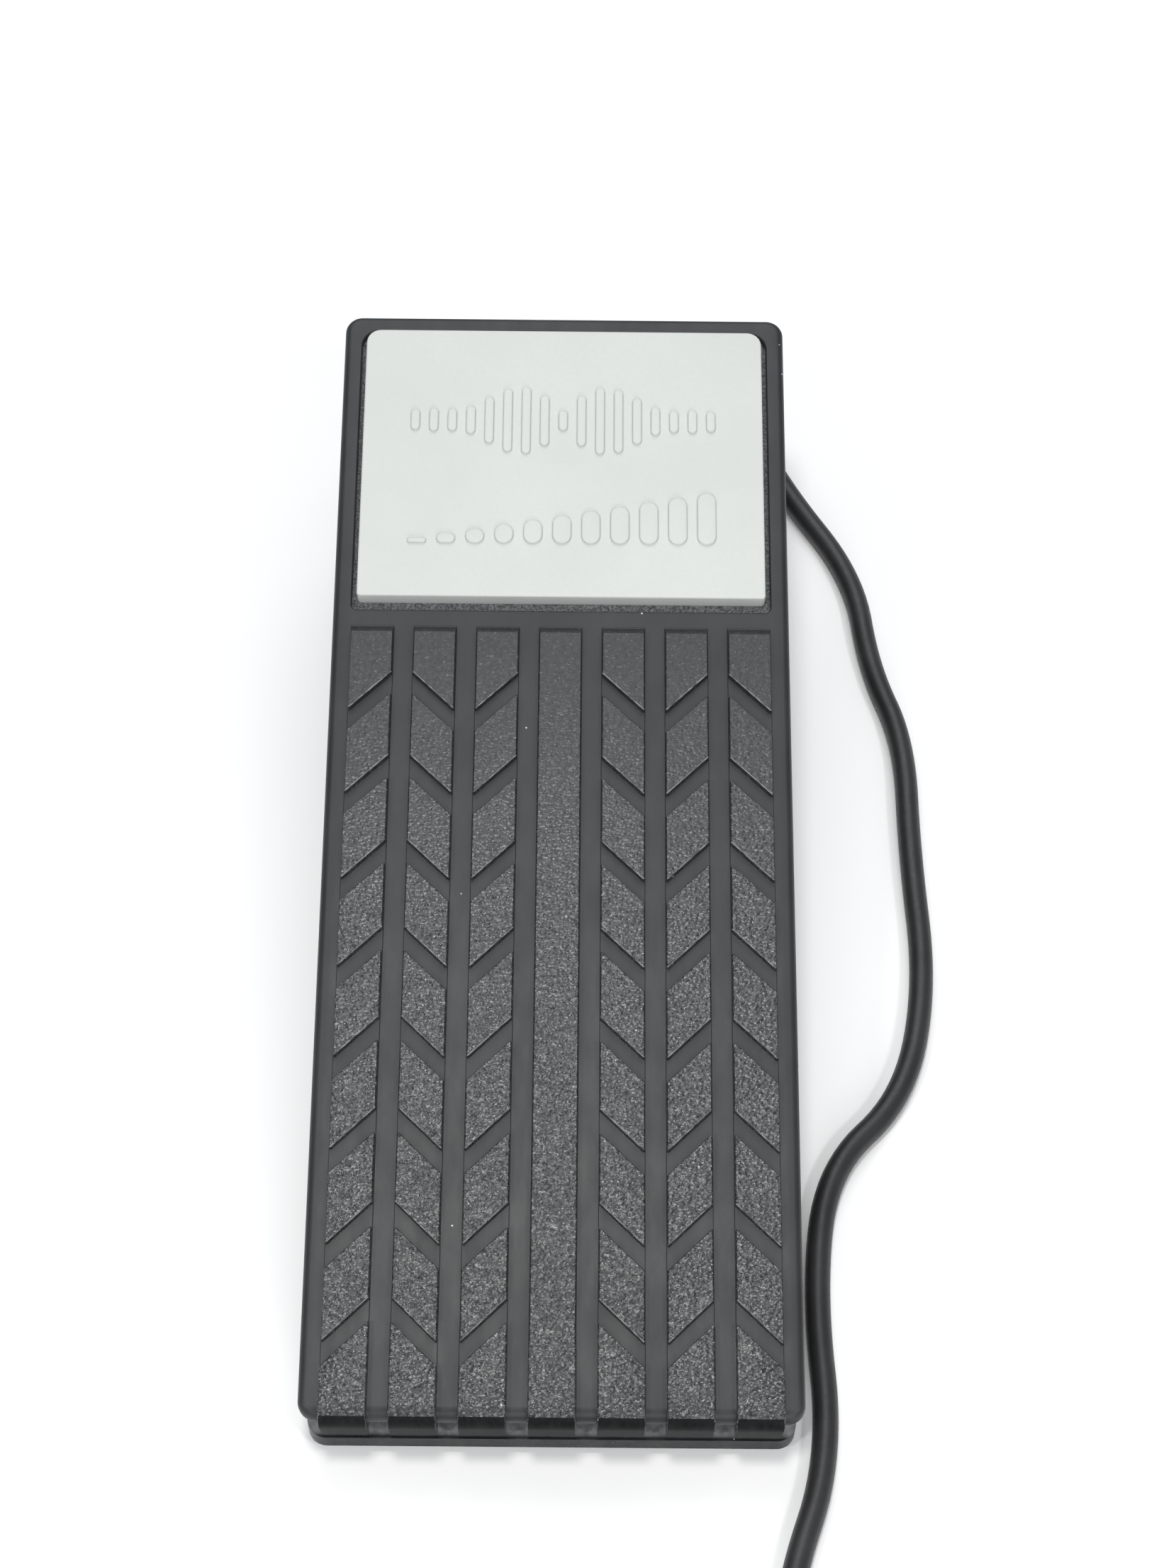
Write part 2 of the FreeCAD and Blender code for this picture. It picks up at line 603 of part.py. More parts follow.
def toothed_disc(teeth, tip, facing, left, thick):
    """A solid gear about the X axis, from left to left + thick."""
    outline = gear_outline(size(teeth), size("tooth_module"), tip, facing)
    disc = Part.Face(outline).extrude(Vector(size(thick), 0, 0))
    disc.translate(Vector(size(left), 0, 0))
    return disc


def gear_sector():
    """The toothed arc under the treadle, with its web and screwed foot."""
    # a gap of the sector faces the pinion, whose tooth faces the pivot
    half_tooth = math.pi / size("sector_teeth")
    mesh = -math.radians(size("mesh_angle") + size("rest_tilt"))
    disc = toothed_disc("sector_teeth", TIP_SECTOR, mesh + half_tooth, "sector_left", "sector_thick")
    reach = size(f"{CENTRES} * 2")
    low, high = -math.radians(size("sector_low")), math.radians(size("sector_high"))
    wedge_points = [Vector(size("sector_left"), 0, 0)]
    for angle in (low, (low + high) / 2, high):
        wedge_points.append(Vector(size("sector_left"), reach * math.cos(angle), reach * math.sin(angle)))
    wedge = Part.Face(Part.makePolygon(wedge_points + wedge_points[:1]))
    wedge = wedge.extrude(Vector(size("sector_thick"), 0, 0))
    bore = Part.makeCylinder(size("sector_bore"), size("sector_thick") + 2, Vector(size("sector_left") - 1, 0, 0),
                             Vector(1, 0, 0))
    arc = disc.common(wedge).cut(bore)

    # the web reaches from the foot down to the arc
    foot_top = size("top_rise - plate_thick - sector_foot")
    foot_low = foot_top - size("sector_foot")
    inner, outer = size("sector_bore"), size("tooth_module * sector_teeth / 2") - ROOT_DEPTH - 0.5
    web_points = [
        (size("seat_near"), foot_low), (size("seat_far"), foot_low),
        (outer * math.cos(high * 0.9), outer * math.sin(high * 0.9)),
        (outer * math.cos(low / 4), outer * math.sin(low / 4)),
        ((inner + 1) * math.cos(low / 2), (inner + 1) * math.sin(low / 2)),
    ]
    corners = [Vector(size("sector_left"), y, z) for y, z in web_points]
    web = Part.Face(Part.makePolygon(corners + corners[:1])).extrude(Vector(size("sector_thick"), 0, 0))
    foot = Part.makeBox(size("seat_right - seat_left"), size("seat_far - seat_near"), size("sector_foot"),
                        Vector(size("seat_left"), size("seat_near"), foot_low))
    holes = [
        Part.makeCylinder(size("screw_radius"), size("sector_foot") + 2,
                          Vector(size(x), size(y), foot_low - 1), Vector(0, 0, 1))
        for x, y in SECTOR_SCREWS
    ]
    piece = DOC.addObject("Part::Feature", "gear_sector")
    piece.Shape = arc.fuse([web, foot]).cut(holes).removeSplitter()
    return tilt_with_treadle(piece)


def sector_screws():
    foot_low = "(top_rise - plate_thick - 2 * sector_foot)"
    screws = []
    for x, y in SECTOR_SCREWS:
        head = round_bar("sector_head", ALONG_Z, x, y, f"{foot_low} - pan_tall", "pan_head", "pan_tall")
        thread = round_bar("sector_thread", ALONG_Z, x, y, foot_low, "screw_radius", "sector_foot + sector_thread")
        slot = box("sector_slot", (f"{x} - pan_head * 0.7", f"{x} + pan_head * 0.7"),
                   (f"{y} - slot_wide / 2", f"{y} + slot_wide / 2"),
                   (f"{foot_low} - pan_tall", f"{foot_low} - pan_tall * 0.6"))
        screws.append(cut("sector_screw", fuse("sector_screw_blank", head, thread), slot))
    return tilt_with_treadle(group("sector_screws", *screws))


def drive_pinion():
    piece = DOC.addObject("Part::Feature", "drive_pinion")
    # the tooth that faces the pivot lies above the level line by the mesh angle
    facing = math.pi - math.radians(size("mesh_angle"))
    disc = toothed_disc("pinion_teeth", TIP_PINION, facing, "pinion_left", "pinion_long")
    bore = Part.makeCylinder(size("pot_shaft"), size("pinion_long") + 2,
                             Vector(size("pinion_left") - 1, 0, 0), Vector(1, 0, 0))
    piece.Shape = disc.cut(bore)
    bind(piece, Placement__Base__y=PINION_Y, Placement__Base__z=PINION_Z)
    return piece


def pot_body():
    """The can, its threaded neck and its terminal tab; the shaft turns in the neck."""
    can = round_bar("can", ALONG_X, "pot_face", PINION_Y, PINION_Z, "pot_radius", "pot_deep")
    neck_long = "(bracket_thick + washer_thick + nut_thick + 0.4)"
    neck = round_bar("neck", ALONG_X, f"pot_face - {neck_long}", PINION_Y, PINION_Z, "pot_neck", neck_long)
    tab = box("tab", ("pot_face + 1", "pot_face + 2.2"), (f"{PINION_Y} - 6", f"{PINION_Y} + 6"),
              (f"{PINION_Z} - pot_radius - 4.5", PINION_Z))
    bore = round_bar("neck_bore", ALONG_X, f"pot_face - {neck_long} - 1", PINION_Y, PINION_Z,
                     "pot_shaft + shaft_gap", f"{neck_long} + pot_deep / 2 + 1")
    return cut("pot_body", fuse("pot_blank", can, neck, tab), bore)


def pot_shaft():
    return round_bar("pot_shaft_piece", ALONG_X, "pinion_left - 0.6", PINION_Y, PINION_Z, "pot_shaft",
                     "pot_face + pot_deep / 2 - pinion_left + 0.3")


def pot_fasteners():
    face = "(pot_face - bracket_thick)"
    disc = round_bar("washer_disc", ALONG_X, f"{face} - washer_thick", PINION_Y, PINION_Z, "pot_neck + 2.6",
                     "washer_thick")
    hole = round_bar("washer_hole", ALONG_X, f"{face} - washer_thick - 1", PINION_Y, PINION_Z, "pot_neck",
                     "washer_thick + 2")
    washer = cut("pot_washer", disc, hole)
    blank = hex_bar("nut_blank", f"{face} - washer_thick - nut_thick", PINION_Y, PINION_Z, "nut_flats", "nut_thick")
    thread = round_bar("nut_hole", ALONG_X, f"{face} - washer_thick - nut_thick - 1", PINION_Y, PINION_Z,
                       "pot_neck", "nut_thick + 2")
    return [washer, cut("pot_nut", blank, thread)]


BRACKET_SIDES = (f"({PINION_Y} - bracket_half)", f"({PINION_Y} + bracket_half)")
BRACKET_END = "(pot_face + bracket_reach)"
BRACKET_SCREWS = [
    (f"({BRACKET_END} - 1.7 * pan_head)", f"({BRACKET_SIDES[0]} + pan_head)"),
    (f"({BRACKET_END} - 1.7 * pan_head)", f"({BRACKET_SIDES[1]} - pan_head)"),
]


def pot_bracket():
    """An angle of sheet metal: the potentiometer on its upright, its foot on the bottom cover."""
    face = "(pot_face - bracket_thick)"
    upright_sheet = box("bracket_upright", (face, "pot_face"), BRACKET_SIDES, (COVER_TOP, "pivot_tall + 1"))
    foot = box("bracket_foot", (face, BRACKET_END), BRACKET_SIDES, (COVER_TOP, f"{COVER_TOP} + bracket_thick"))
    neck = round_bar("bracket_hole", ALONG_X, f"{face} - 1", PINION_Y, PINION_Z, "pot_neck", "bracket_thick + 2")
    holes = [
        round_bar("bracket_screw_hole", ALONG_Z, x, y, f"{COVER_TOP} - 1", "screw_radius", "bracket_thick + 2")
        for x, y in BRACKET_SCREWS
    ]
    return cut("pot_bracket", fuse("bracket_blank", upright_sheet, foot), neck, *holes)


def bracket_screws():
    screws = []
    for x, y in BRACKET_SCREWS:
        thread = round_bar("bracket_thread", ALONG_Z, x, y, COVER_TOP, "screw_radius", "bracket_thick")
        head = round_bar("bracket_head", ALONG_Z, x, y, f"{COVER_TOP} + bracket_thick", "pan_head", "pan_tall")
        screws.append(fuse("bracket_screw", thread, head))
    return group("bracket_screws", *screws)


def level_control():
    """The minimum-level potentiometer behind the recess, its nut, its shaft and the knob in the recess."""
    floor_out = "(-base_wide / 2 + recess_deep)"
    floor_in = f"({floor_out} + recess_floor)"
    neck_long = "(recess_floor + nut_thick - 0.4)"
    can = round_bar("level_can", ALONG_X, floor_in, "knob_ahead", "knob_tall", "pot_radius - 0.5", "pot_deep")
    neck = round_bar("level_neck", ALONG_X, f"{floor_in} - {neck_long}", "knob_ahead", "knob_tall", "pot_neck",
                     neck_long)
    bore = round_bar("level_bore", ALONG_X, f"{floor_in} - {neck_long} - 1", "knob_ahead", "knob_tall",
                     "pot_shaft + shaft_gap", f"{neck_long} + pot_deep / 2 + 1")
    pot = cut("level_pot_body", fuse("level_blank", can, neck), bore)
    blank = hex_bar("level_nut_blank", f"{floor_out} - nut_thick", "knob_ahead", "knob_tall", "nut_flats",
                    "nut_thick")
    thread = round_bar("level_nut_hole", ALONG_X, f"{floor_out} - nut_thick - 1", "knob_ahead", "knob_tall",
                       "pot_neck", "nut_thick + 2")
    nut = cut("level_pot_nut", blank, thread)

    outer_face = "(-treadle_wide / 2 + 0.2)"
    core = round_bar("knob_core", ALONG_X, outer_face, "knob_ahead", "knob_tall", "knob_radius", "knob_long - 0.3")
    flutes = []
    count = 16
    for index in range(count):
        angle = 360 * (index + 0.5) / count
        flutes.append(round_bar("flute", ALONG_X, f"{outer_face} - 1",
                                f"knob_ahead + (knob_radius + 0.35) * sin({angle})",
                                f"knob_tall + (knob_radius + 0.35) * cos({angle})", "0.75", "knob_long + 1"))
    pointer = box("pointer_slot", (f"{outer_face} - 1", f"{outer_face} + 0.5"),
                  ("knob_ahead - 0.5", "knob_ahead + 0.5"), ("knob_tall + 1.5", "knob_tall + knob_radius + 1"))
    seat = round_bar("knob_seat", ALONG_X, f"{outer_face} + 1.5", "knob_ahead", "knob_tall", "pot_shaft",
                     "knob_long")
    knob = cut("level_knob", core, *flutes, pointer, seat)
    shaft = round_bar("level_pot_shaft", ALONG_X, f"{outer_face} + 1.5", "knob_ahead", "knob_tall", "pot_shaft",
                      f"{floor_in} + pot_deep / 2 - ({outer_face}) - 1.8")
    return [pot, nut, knob, shaft]


BOARD_TOP = f"({COVER_TOP} + board_tall + board_thick)"


def terminal_board():
    """The solder board on two spacers, with its screws."""
    middle = "(board_near + board_wide / 2)"
    places = [("(board_left + board_screw)", middle), ("(board_right - board_screw)", middle)]
    low = f"({COVER_TOP} + board_tall)"
    sheet = box("board_sheet", ("board_left", "board_right"), ("board_near", "board_near + board_wide"),
                (low, BOARD_TOP))
    holes = [
        round_bar("board_hole", ALONG_Z, x, y, f"{low} - 1", "screw_radius", "board_thick + 2") for x, y in places
    ]
    board = cut("terminal_board", sheet, *holes)
    spacers = []
    screws = []
    for x, y in places:
        sleeve = round_bar("spacer_tube", ALONG_Z, x, y, COVER_TOP, "spacer_radius", "board_tall")
        hole = round_bar("spacer_hole", ALONG_Z, x, y, f"{COVER_TOP} - 1", "screw_radius", "board_tall + 2")
        spacers.append(cut("spacer", sleeve, hole))
        thread = round_bar("board_thread", ALONG_Z, x, y, COVER_TOP, "screw_radius", "board_tall + board_thick")
        head = round_bar("board_head", ALONG_Z, x, y, BOARD_TOP, "pan_head", "pan_tall")
        screws.append(fuse("board_screw", thread, head))
    return [board, group("board_spacers", *spacers), group("board_screws", *screws)]


# ---------------------------------------------------------------- treadle


BADGE_FAR = "(treadle_back + treadle_ahead - badge_toe)"
BADGE_NEAR = f"({BADGE_FAR} - badge_long)"
BADGE_HALF = "(treadle_wide / 2 - badge_side)"
BAND_END = f"({BADGE_NEAR} - band_short)"


def from_heel(text):
    """A distance from the heel edge, as the treadle frame's Y."""
    return f"(({text}) - treadle_back)"


def treadle_blank():
    """The moulded treadle without its tread: top, skirts, lugs, ribs and badge pocket."""
    shell = body("treadle_blank")
    under = "(top_rise - plate_thick)"
    skirt_end = "(top_rise - skirt_deep)"
    outline = sketch(shell, "XY_Plane", "treadle_outline", skirt_end)
    draw_rectangle(outline, ("-treadle_wide / 2", "treadle_wide / 2"), ("-treadle_back", "treadle_ahead"))
    pad(shell, outline, "skirt_deep")
    round_edges(shell, "toe_corners", "Fillet", "toe_corner",
                lambda edge: upright(edge) and edge.BoundBox.YMin > 0)
    round_edges(shell, "heel_corners", "Fillet", "heel_corner",
                lambda edge: upright(edge) and near(edge.BoundBox.YMin, "-treadle_back"))
    round_edges(shell, "top_edges", "Fillet", "edge_round",
                lambda edge: near(edge.BoundBox.ZMin, "top_rise"))

    heel_cut = sketch(shell, "YZ_Plane", "under_the_heel")
    draw_rectangle(heel_cut, ("-treadle_back - 5", from_heel("heel_inset")), ("0", under))
    pocket(shell, heel_cut, "2 * treadle_wide", both=True)
    hollow = sketch(shell, "YZ_Plane", "treadle_hollow")
    draw_rectangle(hollow, (from_heel("heel_inset + skirt_thick"), "treadle_ahead - skirt_thick"), ("0", under))
    pocket(shell, hollow, "treadle_wide - 2 * skirt_thick", both=True)

    badge_pocket = sketch(shell, "XY_Plane", "badge_pocket", "top_rise - pocket_deep")
    side = f"({BADGE_HALF} + pocket_side)"
    draw_rectangle(badge_pocket, (f"-{side}", side),
                   (from_heel(f"{BADGE_NEAR} - pocket_near"), from_heel(f"{BADGE_FAR} + pocket_far")))
    pocket(shell, badge_pocket, "2 * pocket_deep", turned=True)

    lug = sketch(shell, "YZ_Plane", "lug", LUG_INNER)
    draw_outline(lug, [
        ("-lug_half - 2", f"{under} + 1"), ("-lug_half", "0"), ("-lug_half / 2", "-lug_half * 0.87"),
        ("lug_half / 2", "-lug_half * 0.87"), ("lug_half", "0"), ("lug_half + 2", f"{under} + 1"),
    ])
    mirror(shell, pad(shell, lug, "lug_thick"))
    hole = sketch(shell, "YZ_Plane", "shaft_hole")
    draw_circle(hole, "0", "0", "shaft_radius")
    pocket(shell, hole, "treadle_wide", both=True)

    stops = sketch(shell, "XY_Plane", "stop_ribs", "deck_rise + stop_thick + stop_gap")
    for start, end in ((f"-{STOP_FAR}", f"-{STOP_NEAR}"), (STOP_NEAR, STOP_FAR)):
        draw_rectangle(stops, ("-stop_half - 2", "stop_half + 2"), (start, end))
    pad(shell, stops, f"{under} + 1 - deck_rise - stop_thick - stop_gap")
    ribs = sketch(shell, "XY_Plane", "long_ribs", f"{under} - rib_deep")
    for side in ("-", ""):
        inner, outer = f"{side}(rib_aside - rib_thick / 2)", f"{side}(rib_aside + rib_thick / 2)"
        draw_rectangle(ribs, (inner, outer), (f"-{STOP_NEAR} + rib_short", f"{STOP_NEAR} - rib_short"))
    pad(shell, ribs, "rib_deep + 1")
    seat = sketch(shell, "XY_Plane", "sector_seat", f"{under} - sector_foot")
    draw_rectangle(seat, ("seat_left", "seat_right"), ("seat_near", "seat_far"))
    pad(shell, seat, "sector_foot + 1")
    for index, (x, y) in enumerate(SECTOR_SCREWS):
        thread = sketch(shell, "XY_Plane", f"sector_thread_{index}", f"{under} - sector_foot")
        draw_circle(thread, x, y, "screw_radius")
        pocket(shell, thread, "sector_thread", turned=True)
    return shell


# the way each band's grooves lean: 1 up to the right, -1 up to the left, 0 no grooves
BAND_LEANS = (1, -1, 1, 0, -1, 1, -1)
BAND_PITCH = f"((treadle_wide - 2 * band_border - band_wide) / {len(BAND_LEANS) - 1})"
NOTCH_ROWS = 8


def tread_band(column, lean):
    """One band of the tread: it slopes up from the badge, and turns down over the heel as a claw."""
    band = body(f"band_{column}")
    top = "(top_rise + band_rise)"
    middle = f"({BAND_PITCH} * {column - len(BAND_LEANS) // 2})"
    profile = sketch(band, "YZ_Plane", f"band_profile_{column}", f"{middle} - band_wide / 2")
    draw_outline(profile, [
        (from_heel(BAND_END), "top_rise - 1"),
        (from_heel(BAND_END), "top_rise"),
        (from_heel(f"{BAND_END} - band_slope"), top),
        (from_heel("-claw_out"), top),
        (from_heel("-claw_out"), "top_rise - claw_deep"),
        (from_heel("heel_inset + 1"), "top_rise - claw_deep"),
        (from_heel("heel_inset + 1"), "top_rise - 1"),
    ])
    pad(band, profile, "band_wide")
    round_edges(band, f"claw_round_{column}", "Fillet", "claw_round",
                lambda edge: near(edge.BoundBox.YMax, from_heel("-claw_out")) and near(edge.BoundBox.ZMin, top))
    if lean:
        notches = sketch(band, "XY_Plane", f"notches_{column}", "top_rise")
        left, right = f"{middle} - band_wide / 2 - 0.5", f"{middle} + band_wide / 2 + 0.5"
        climb = f"({lean} * notch_climb * (0.5 + 0.5 / band_wide))"
        for row in range(NOTCH_ROWS):
            centre = from_heel(f"notch_first + {row} * notch_pitch")
            draw_outline(notches, [
                (left, f"{centre} - {climb} - notch_long / 2"), (right, f"{centre} + {climb} - notch_long / 2"),
                (right, f"{centre} + {climb} + notch_long / 2"), (left, f"{centre} - {climb} + notch_long / 2"),
            ])
        pocket(band, notches, "2 * band_rise", turned=True)
    return band


def treadle_shell():
    bands = [tread_band(column, lean) for column, lean in enumerate(BAND_LEANS)]
    return tilt_with_treadle(fuse("treadle_shell", treadle_blank(), *bands))


WAVE_BARS = 17
RAMP_BARS = 11


def badge_plate():
    """The pale plate in the pocket, with a raised ornament: a sound wave of bars over a rising ramp of bars."""
    plate = body("badge_plate")
    outline = sketch(plate, "XY_Plane", "badge_outline", "top_rise - pocket_deep")
    draw_rectangle(outline, (f"-{BADGE_HALF}", BADGE_HALF), (from_heel(BADGE_NEAR), from_heel(BADGE_FAR)))
    pad(plate, outline, "badge_thick")
    round_edges(plate, "badge_corners", "Fillet", "badge_corner",
                lambda edge: upright(edge) and near(edge.BoundBox.YMax, from_heel(BADGE_FAR)))

    relief = sketch(plate, "XY_Plane", "badge_relief", "top_rise - pocket_deep + badge_thick")
    room = f"(2 * ({BADGE_HALF} - relief_in))"
    middle = from_heel(f"{BADGE_NEAR} + wave_along")
    for index in range(WAVE_BARS):
        phase = math.pi * (index + 0.5) / WAVE_BARS
        swell = 0.25 + 0.75 * math.sin(phase) ** 2 * abs(math.cos(3 * phase))
        place = f"({room} * {(index + 0.5) / WAVE_BARS - 0.5})"
        thick = f"({room} * {0.24 / WAVE_BARS})"
        draw_rectangle(relief, (f"{place} - {thick}", f"{place} + {thick}"),
                       (f"{middle} - wave_tall * {swell / 2}", f"{middle} + wave_tall * {swell / 2}"))
    line = from_heel(f"{BADGE_NEAR} + ramp_along")
    for index in range(RAMP_BARS):
        place = f"({room} * {(index + 0.5) / RAMP_BARS - 0.5})"
        thick = f"({room} * {0.32 / RAMP_BARS})"
        draw_rectangle(relief, (f"{place} - {thick}", f"{place} + {thick}"),
                       (line, f"{line} + ramp_tall * {(index + 1) / RAMP_BARS}"))
    pad(plate, relief, "relief_rise")
    return tilt_with_treadle(plate)


CLIP_STARTS = (f"{LUG_INNER} - clip_thick", f"-{LUG_INNER}")


def pivot_shaft():
    """A steel pin with a groove for each clip."""
    half = f"({INNER_HALF} - shaft_end_gap)"
    pin = round_bar("pin", ALONG_X, f"-{half}", "0", "pivot_tall", "shaft_radius", f"2 * {half}")
    grooves = []
    for start in CLIP_STARTS:
        outer = round_bar("groove_outer", ALONG_X, start, "0", "pivot_tall", "shaft_radius + 1", "clip_thick")
        inner = round_bar("groove_inner", ALONG_X, start, "0", "pivot_tall", "clip_groove", "clip_thick")
        grooves.append(cut("groove", outer, inner))
    return cut("pivot_shaft", pin, *grooves)


def shaft_clips():
    clips = []
    for start in CLIP_STARTS:
        disc = round_bar("clip_disc", ALONG_X, start, "0", "pivot_tall", "clip_radius", "clip_thick")
        hole = round_bar("clip_hole", ALONG_X, f"{start} - 1", "0", "pivot_tall", "clip_groove", "clip_thick + 2")
        mouth = box("clip_mouth", (f"{start} - 1", f"{start} + clip_thick + 1"),
                    ("-clip_groove * 0.8", "clip_groove * 0.8"), ("pivot_tall - clip_radius - 1", "pivot_tall"))
        clips.append(cut("clip", disc, hole, mouth))
    return group("shaft_clips", *clips)


# ---------------------------------------------------------------- cord and plug

# where the cord's centreline turns, from the strain relief round the right-hand side to the coil
CORD_ROUTE = [
    (-5, 138, 9.0), (-5, 149, 9.0), (0, 160.5, 6.0), (11.8, 167.2, 3.4), (25.2, 165.8, 2.6), (36.2, 157.1, 2.6),
    (44, 135, 2.6), (52.3, 115.5, 2.6), (67, 90, 2.6), (69.2, 64, 2.6), (76, 44, 2.6), (75.5, 14, 2.6),
    (77, -18, 2.6), (71, -45, 2.6), (54.5, -61, 2.6), (50.8, -88, 2.6), (53, -121, 2.6), (43.5, -147, 2.6),
    (42.8, -166, 2.6), (42.4, -183, 2.6),
]
COIL_MIDDLE = (7.3, -189.0)
TAIL_ROUTE = [(1, -224.3, 7.6), (-10.5, -225.4, 7.4), (-22, -226, 7.0), (-34, -226, 7.0)]
PLUG_START = (-34.0, -226.0, 7.0)


def rounded_path(points):
    """Straight runs joined by tangent arcs, as a wire; the arcs' radii are returned with it."""
    points = [Vector(*point) for point in points]
    edges = []
    radii = []
    here = points[0]
    for before, corner, after in zip(points, points[1:], points[2:]):
        arriving, leaving = (corner - before), (after - corner)
        reach = 0.45 * min(arriving.Length, leaving.Length)
        turn = arriving.getAngle(leaving)
        radii.append(reach / math.tan(turn / 2))
        arriving.normalize()
        leaving.normalize()
        start = corner - arriving * reach
        end = corner + leaving * reach
        inward = leaving - arriving
        inward.normalize()
        centre = corner + inward * (reach / math.sin(turn / 2))
        middle = centre - inward * radii[-1]
        edges.append(Part.LineSegment(here, start).toShape())
        edges.append(Part.Arc(start, middle, end).toShape())
        here = end
    edges.append(Part.LineSegment(here, points[-1]).toShape())
    return Part.Wire(edges), radii


def tube(name, points, radius):
    """A round tube along straight runs and tangent arcs."""
    path, radii = rounded_path(points)
    direction = Vector(*points[1]) - Vector(*points[0])
    ring = Part.Wire(Part.makeCircle(radius, Vector(*points[0]), direction))
    shape = path.makePipeShell([ring], True, True)
    expected = math.pi * radius ** 2 * path.Length
    assert abs(shape.Volume - expected) < 0.01 * expected, f"{name} has the wrong volume"
    print(name, "length", round(path.Length, 1), "radii", [round(value, 1) for value in radii])
    return shape


def tube_piece(name, points, radius):
    piece = DOC.addObject("Part::Feature", name)
    piece.Shape = tube(name, points, radius)
    return piece


def inner_wires():
    """Four insulated wires from the two potentiometers to the solder board."""
    board_top = size(BOARD_TOP)
    end_y = size("board_near + board_wide / 8")
    level_x, level_y = size("-base_wide / 2 + recess_deep + recess_floor"), size("knob_ahead + pot_radius - 0.5")
    tab_x, tab_y = size("pot_face + 1.6"), size(f"{PINION_Y} + 6")
    tab_z = size(f"{PINION_Z} - pot_radius")
    starts = [
        (level_x + 3, level_y, size("knob_tall")), (level_x + 6, level_y, size("knob_tall")),
        (tab_x, tab_y, tab_z - 3.5), (tab_x, tab_y, tab_z - 1.0),
    ]
    shapes = []
    for index, start in enumerate(starts):
        end_x = size("board_left") + size("board_right - board_left") * (0.14 + 0.24 * index)
        low = size(COVER_TOP) + 2.7 + 1.6 * (index % 2)
        middle_x = (start[0] + end_x) / 2 + (2 if index % 2 else -2)
        over = board_top + 6
        points = [
            start, (start[0], start[1] + 7, start[2]), (middle_x, (start[1] + end_y) / 2 + 2, low),
            (end_x, end_y - 7, over), (end_x, end_y, over), (end_x, end_y, board_top),
        ]
        shapes.append(tube(f"wire_{index}", points, size("wire_radius")))
    piece = DOC.addObject("Part::Feature", "inner_wires")
    piece.Shape = Part.makeCompound(shapes)
    return piece


def cord_gland():
    """The moulded strain relief: a collar in the wall, and a tapered ribbed sleeve outside it."""
    y_wall = "(base_toe - shell_wall)"
    collar = round_bar("gland_collar", ALONG_Y, "cord_aside", f"{y_wall} - 2", "cord_tall", "gland_collar", "2")
    neck = round_bar("gland_neck", ALONG_Y, "cord_aside", y_wall, "cord_tall", "gland_narrow", "shell_wall")
    sleeve = round_bar("gland_sleeve", ALONG_Y, "cord_aside", "base_toe", "cord_tall", "gland_wide", "gland_long",
                       narrow="gland_narrow")
    grooves = []
    for index in range(4):
        start = f"base_toe + gland_long * {0.2 + 0.18 * index}"
        outer = round_bar("gland_outer", ALONG_Y, "cord_aside", start, "cord_tall", "gland_wide + 1", "1.2")
        inner = round_bar("gland_inner", ALONG_Y, "cord_aside", start, "cord_tall", "gland_narrow - 0.2", "1.2")
        grooves.append(cut("gland_groove", outer, inner))
    return cut("cord_gland", fuse("gland_blank", collar, neck, sleeve), *grooves)


def cord_coil():
    """The put-away part of the cord as one solid ring of its outer shape."""
    across = "(coil_turns_across * 2 * cord_radius)"
    tall = "(coil_layers * 2 * cord_radius)"
    x, y = COIL_MIDDLE
    ring = body("cord_coil")
    outline = sketch(ring, "XY_Plane", "coil_outline", "0.1")
    draw_circle(outline, str(x), str(y), "coil_outer")
    draw_circle(outline, str(x), str(y), f"coil_outer - {across}")
    pad(ring, outline, tall)
    round_edges(ring, "coil_edges", "Fillet", "cord_radius * 0.9", lambda edge: True)
    return ring


def turned_piece(name, stretches):
    """A piece of the plug from cylinders and cones: start, length, radius, end radius, along -X from the boot."""
    x, y, z = PLUG_START
    made = []
    for start, length, radius, end in stretches:
        narrow = None if end == radius else str(end)
        made.append(round_bar(f"{name}_stretch", AGAINST_X, str(x - start), str(y), str(z), str(radius),
                              str(length), narrow))
    return made[0] if len(made) == 1 else fuse(name, *made)


def plug():
    """A 6.35 mm plug with three contacts: boot, grip, sleeve, ring and tip, with two insulators."""
    boot = turned_piece("plug_boot", [(0, 12, 3.4, 5.0), (12, 2, 5.0, 5.0)])
    grip = turned_piece("plug_grip_piece", [(14, 2, 5.6, 6.9), (16, 24, 6.9, 6.9), (40, 2, 6.9, 5.6)])
    sleeve = turned_piece("plug_sleeve", [(42, 1.5, 4.6, 4.6), (43.5, 18.0, 3.175, 3.175)])
    insulators = group("plug_insulators", *[
        round_insulator(start) for start in (61.5, 66.7)
    ])
    ring = turned_piece("plug_ring", [(62.7, 4.0, 3.175, 3.175)])
    tip = turned_piece("plug_tip", [(67.9, 0.9, 3.175, 3.175), (68.8, 1.2, 3.175, 2.4), (70.0, 1.4, 2.4, 3.1),
                                    (71.4, 3.0, 3.1, 1.0)])
    return [boot, grip, sleeve, insulators, ring, tip]


def round_insulator(start):
    return turned_piece("insulator", [(start, 1.2, 3.0, 3.0)])


# ---------------------------------------------------------------- the nodes, each with its name


